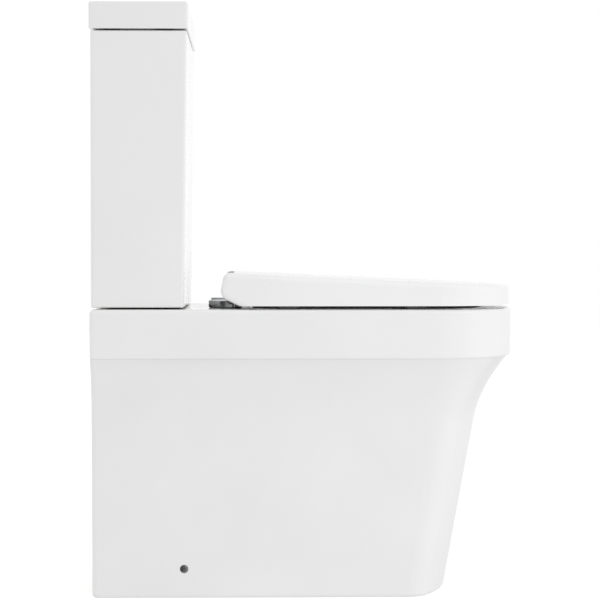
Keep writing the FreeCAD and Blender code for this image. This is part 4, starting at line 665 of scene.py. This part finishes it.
def turned_tree():
    """Winds a profile of radius and height round its axis, threaded where the profile is marked."""
    tree = Tree("turned_piece", "Profile", Sides="Int", Pitch="Float", Depth="Float", Lie="Vector",
                Count="Int", First="Vector", Step="Vector", Swing="Float", Finish="Material")
    profile = tree.size("Profile")
    counted = tree.node("GeometryNodeAttributeDomainSize", {"Geometry": profile})
    rows = counted.outputs["Point Count"]
    grid = tree.node("GeometryNodeMeshGrid", {
        "Size X": 1.0, "Size Y": 1.0, "Vertices X": tree.math("ADD", tree.size("Sides"), 1.0),
        "Vertices Y": rows})
    place = tree.node("GeometryNodeInputPosition", {}).outputs[0]
    spot = tree.node("ShaderNodeSeparateXYZ", {"Vector": place})
    turn = tree.math("ADD", spot.outputs["X"], 0.5)
    share = tree.math("ADD", spot.outputs["Y"], 0.5)
    row = tree.math("ROUND", tree.math("MULTIPLY", share, tree.math("SUBTRACT", rows, 1.0)))
    point = tree.node("GeometryNodeSampleIndex", {"Geometry": profile, "Index": row},
                      data_type="FLOAT_VECTOR", domain="POINT")
    tree.group.links.new(place, point.inputs["Value"])
    marked = tree.node("GeometryNodeInputNamedAttribute", {"Name": "thread"}, data_type="FLOAT")
    cut = tree.node("GeometryNodeSampleIndex", {"Geometry": profile, "Index": row},
                    data_type="FLOAT", domain="POINT")
    tree.group.links.new(marked.outputs["Attribute"], cut.inputs["Value"])
    outline = tree.node("ShaderNodeSeparateXYZ", {"Vector": point.outputs["Value"]})
    height = outline.outputs["Z"]
    pitches = tree.math("DIVIDE", height, tree.size("Pitch"))
    phase = tree.math("FRACT", tree.math("SUBTRACT", pitches, turn))
    wave = tree.math("ABSOLUTE", tree.math("SUBTRACT", tree.math("MULTIPLY", phase, 2.0), 1.0))
    flank = tree.node("ShaderNodeMapRange", {
        "Value": wave, "From Min": THREAD_CREST, "From Max": THREAD_ROOT})
    groove = tree.math("MULTIPLY", flank.outputs["Result"], tree.size("Depth"))
    groove = tree.math("MULTIPLY", groove, cut.outputs["Value"])
    radius = tree.math("SUBTRACT", outline.outputs["X"], groove)
    angle = tree.math("MULTIPLY", turn, 2 * math.pi)
    wound = tree.node("ShaderNodeCombineXYZ", {
        "X": tree.math("MULTIPLY", radius, tree.math("COSINE", angle)),
        "Y": tree.math("MULTIPLY", radius, tree.math("SINE", angle)), "Z": height})
    skin = tree.node("GeometryNodeSetPosition", {
        "Geometry": grid.outputs["Mesh"], "Position": wound.outputs[0]})
    closed = tree.node("GeometryNodeMergeByDistance", {
        "Geometry": skin.outputs[0], "Distance": SEAM_GAP})
    laid = tree.node("GeometryNodeTransform", {
        "Geometry": closed.outputs[0], "Rotation": tree.size("Lie")})
    spots = tree.node("GeometryNodeMeshLine", {
        "Count": tree.size("Count"), "Start Location": tree.size("First"),
        "Offset": tree.size("Step")})
    order = tree.node("GeometryNodeInputIndex", {}).outputs[0]
    facing = tree.node("ShaderNodeCombineXYZ", {
        "Z": tree.math("MULTIPLY", order, tree.size("Swing"))})
    copies = tree.node("GeometryNodeInstanceOnPoints", {
        "Points": spots.outputs["Mesh"], "Instance": laid.outputs[0],
        "Rotation": facing.outputs[0]})
    tree.finish(copies.outputs["Instances"])
    return tree


def coil_tree():
    """Winds a round wire into a spring that stands on its end."""
    tree = Tree("coil_spring", "Base", Turns="Float", Coil_Radius="Float", Wire_Radius="Float",
                Height="Float", Place="Vector", Finish="Material")
    path = tree.node("GeometryNodeCurveSpiral", {
        "Resolution": COIL_STEPS, "Rotations": tree.size("Turns"),
        "Start Radius": tree.size("Coil_Radius"), "End Radius": tree.size("Coil_Radius"),
        "Height": tree.size("Height")})
    wire = tree.node("GeometryNodeCurvePrimitiveCircle", {
        "Resolution": WIRE_SIDES, "Radius": tree.size("Wire_Radius")})
    coil = tree.node("GeometryNodeCurveToMesh", {
        "Curve": path.outputs["Curve"], "Profile Curve": wire.outputs["Curve"], "Fill Caps": True})
    placed = tree.node("GeometryNodeTransform", {
        "Geometry": coil.outputs["Mesh"], "Translation": tree.size("Place")})
    tree.finish(placed.outputs["Geometry"])
    return tree


TURNED = turned_tree()
COIL = coil_tree()


def profile_line(name, rows):
    """Line of points, each a radius, a height and its share of the thread's depth."""
    mesh = bpy.data.meshes.new(name)
    mesh.from_pydata([(radius, 0.0, z) for radius, z, share in rows],
                     [(i, i + 1) for i in range(len(rows) - 1)], [])
    marks = mesh.attributes.new("thread", "FLOAT", "POINT")
    marks.data.foreach_set("value", [share for radius, z, share in rows])
    piece = bpy.data.objects.new(name, mesh)
    scene.collection.objects.link(piece)
    return piece


def plain(*points):
    """Rows of a stretch without a thread, each a radius and a height."""
    return [(radius, z, 0.0) for radius, z in points]


def threaded(radius, low, high, pitch):
    """Rows of a threaded stretch, whose thread runs out over half a turn at each end."""
    steps = round((high - low) / pitch * ROWS_PER_TURN)
    rows = []
    for i in range(steps + 1):
        z = low + (high - low) * i / steps
        rows.append((radius, z, min(1.0, 2 * (z - low) / pitch, 2 * (high - z) / pitch)))
    return rows


UPRIGHT = (0.0, 0.0, 0.0)
SIDEWAYS = (0.0, math.pi / 2, 0.0)
NO_SWING = 0.0
OPPOSITE = math.pi       # the second of a pair looks the other way
ANY_PITCH = 0.001        # of a piece without a thread, where it shows nowhere
NO_DEPTH = 0.0


def turned_piece(node, rows, spots, sides, pitch=ANY_PITCH, depth=NO_DEPTH,
                 lie=UPRIGHT, swing=NO_SWING):
    """Piece with the profile of these rows, at one spot or at a pair of them."""
    piece = profile_line(node + "_turned", rows)
    first = Vector(spots[0])
    TURNED.make(piece, Sides=sides, Pitch=pitch, Depth=depth, Lie=lie, Count=len(spots),
                First=first, Step=Vector(spots[-1]) - first, Swing=swing,
                Finish=FINISHES[slot_of(node)])
    stands_for(piece, node)


def middle(box, axis):
    return (box[0][axis] + box[1][axis]) / 2


def upright_pair(box, radius):
    """Axes of two upright pieces, one on each side, from the box around them."""
    x = box[1][0] - radius
    y = middle(box, 1)
    return [(-x, y, 0.0), (x, y, 0.0)]


def sideways_pair(box, x):
    """Starts of two sideways pieces, one on each side, from the box around them."""
    y = middle(box, 1)
    z = middle(box, 2)
    return [(x, y, z), (-x, y, z)]


M8_RADIUS = 0.004
M8_PITCH = 0.00125
M8_DEPTH = 0.00065
M8_END = 0.0031          # radius of the chamfered end
M8_LEAD = 0.0009         # length of the chamfer
M8_SIDES = 28


def cistern_bolts():
    """Cistern bolts with a domed head and a thread up to the plain shank."""
    head_radius = 0.008
    head_height = 0.005
    plain_shank = 0.018
    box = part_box("cistern_bolts")
    tip, crown = box[0][2], box[1][2]
    head = crown - head_height
    rows = plain((0.0, tip), (M8_END, tip))
    rows += threaded(M8_RADIUS, tip + M8_LEAD, head - plain_shank, M8_PITCH)
    rows += plain((M8_RADIUS, head), (head_radius - 0.0006, head), (head_radius, head + 0.0006),
                  (head_radius, head + 0.0024), (0.0074, head + 0.0037), (0.0062, head + 0.0045),
                  (0.0045, crown), (0.0036, crown), (0.0032, crown - 0.0018),
                  (0.0, crown - 0.0020))
    turned_piece("cistern_bolts", rows, upright_pair(box, head_radius),
                 sides=M8_SIDES, pitch=M8_PITCH, depth=M8_DEPTH)


def hinge_studs():
    """Studs of the seat's hinge, threaded all the way."""
    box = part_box("hinge_studs")
    tip, top = box[0][2], box[1][2]
    rows = plain((0.0, tip), (M8_END, tip))
    rows += threaded(M8_RADIUS, tip + M8_LEAD, top - M8_LEAD, M8_PITCH)
    rows += plain((M8_END, top), (0.0, top))
    turned_piece("hinge_studs", rows, upright_pair(box, M8_RADIUS),
                 sides=M8_SIDES, pitch=M8_PITCH, depth=M8_DEPTH)


def side_screws():
    """Screws of the floor fixing: a pointed thread, with the head to the outside."""
    shank = 0.0025
    pitch = 0.0018
    depth = 0.0007
    point = 0.0048           # length of the point
    end = 0.0365
    head_radius = 0.0046
    head = end - 0.0025      # lower face of the head
    thread_end = end - 0.0052
    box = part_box("side_screws")
    rows = plain((0.0, 0.0), (0.0007, 0.0008)) + threaded(shank, point, thread_end, pitch)
    rows += plain((shank, head), (head_radius, head), (head_radius, end - 0.0012),
                  (0.0038, end - 0.0003), (0.0026, end), (0.0018, end), (0.0012, end - 0.0016),
                  (0.0, end - 0.0017))
    turned_piece("side_screws", rows, sideways_pair(box, box[1][0] - end),
                 sides=24, pitch=pitch, depth=depth, lie=SIDEWAYS, swing=OPPOSITE)


def side_caps():
    """Rounded cap over each side screw, standing a little out of its hole."""
    back = 0.13488           # back of the cap from the middle of the pan
    proud = 0.0013
    rim = 0.0055
    round_in, round_back = 0.0017, 0.0015
    round_steps = 8
    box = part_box("side_caps")
    face = box[1][0] - back + proud
    rows = plain((0.0, 0.0), (rim - 0.0002, 0.0), (rim, 0.0002))
    for i in range(round_steps + 1):
        bend = math.pi / 2 * i / round_steps
        rows += plain((rim - round_in * (1 - math.cos(bend)),
                       face - round_back * (1 - math.sin(bend))))
    rows += plain((0.0020, face + 0.0001), (0.0, face + 0.00012))
    turned_piece("side_caps", rows, sideways_pair(box, back),
                 sides=36, lie=SIDEWAYS, swing=OPPOSITE)


def valve_base():
    """Flush valve's base: a flange and seat over a coarse threaded tail."""
    tail, bore, flange = 0.031, 0.026, 0.042
    pitch = 0.004
    depth = 0.0012
    lead = 0.0014            # chamfer at the tail's end
    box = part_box("valve_base")
    tip, seat = box[0][2], box[1][2]
    top = seat - 0.007       # upper face of the flange
    under = top - 0.006      # lower face of the flange
    thread_end = under - 0.004
    rows = plain((bore, tip), (tail - lead, tip))
    rows += threaded(tail, tip + lead, thread_end, pitch)
    rows += plain((tail, under), (flange - 0.0005, under), (flange, under + 0.0005),
                  (flange, top - 0.0008), (flange - 0.0008, top), (tail + 0.0006, top),
                  (tail, top + 0.0006), (tail, seat - 0.0020), (tail - 0.0012, seat - 0.0004),
                  (tail - 0.0020, seat), (bore + 0.0012, seat), (bore, seat - 0.0012),
                  (bore, tip))
    turned_piece("valve_base", rows, [(0.0, GEAR_Y, 0.0)], sides=72, pitch=pitch, depth=depth)


def fill_valve_body():
    """Fill valve's shank, threaded for the supply and for its nut, under a plain column."""
    shank, neck, bore = 0.01048, 0.0116, 0.006
    flange, column, stop = 0.019, 0.013, 0.016
    pitch = 0.0018
    depth = 0.0010
    lead = 0.0011            # chamfer at the shank's end
    neck_lead = 0.0004
    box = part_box("fill_valve_body")
    tip, top = box[0][2], box[1][2]
    step = tip + 0.034       # where the shank widens to the neck
    under = tip + 0.059      # lower face of the flange
    over = under + 0.004     # upper face of the flange
    supply_thread_end = step - 0.0015
    nut_thread_end = under - 0.003
    float_gap = 0.0003       # between the stop and the float at rest
    stop_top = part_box("fill_float")[0][2] - float_gap
    stop_low = stop_top - 0.005
    rows = plain((bore, tip), (shank - lead, tip))
    rows += threaded(shank, tip + lead, supply_thread_end, pitch)
    rows += plain((shank, step), (neck - neck_lead, step))
    rows += threaded(neck, step + neck_lead, nut_thread_end, pitch)
    rows += plain((neck, under), (flange, under), (flange, over - 0.0006),
                  (flange - 0.0006, over), (column + 0.0008, over), (column, over + 0.0008),
                  (column, stop_low), (stop, stop_low), (stop, stop_top), (column, stop_top),
                  (column, top), (bore, top), (bore, tip))
    turned_piece("fill_valve_body", rows, [(box[1][0] - flange, GEAR_Y, 0.0)],
                 sides=40, pitch=pitch, depth=depth)


FULL_FLUSH_X = 0.008
HALF_FLUSH_X = -0.012


def button_spring(name, x):
    """Return spring of one button, wound at its length at rest."""
    wire, coil_radius, turns = 0.0006, 0.0047, 6.0
    node = name + "_spring"
    low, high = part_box(node)
    foot, top = low[2], high[2]
    base = plain((0.0, 0.0), (0.0, 0.001))    # only carries the tree
    spring = profile_line(node + "_coil", base)
    COIL.make(spring, Turns=turns, Coil_Radius=coil_radius, Wire_Radius=wire,
              Height=top - foot - 2 * wire, Place=(x, GEAR_Y, foot + wire),
              Finish=FINISHES[slot_of(node)])
    stands_for(spring, node)
    # 27 mm long at rest, and 21 mm with the button down
    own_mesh(spring)


cistern_bolts()
hinge_studs()
side_screws()
side_caps()
valve_base()
fill_valve_body()
button_spring("full_flush", FULL_FLUSH_X)
button_spring("half_flush", HALF_FLUSH_X)
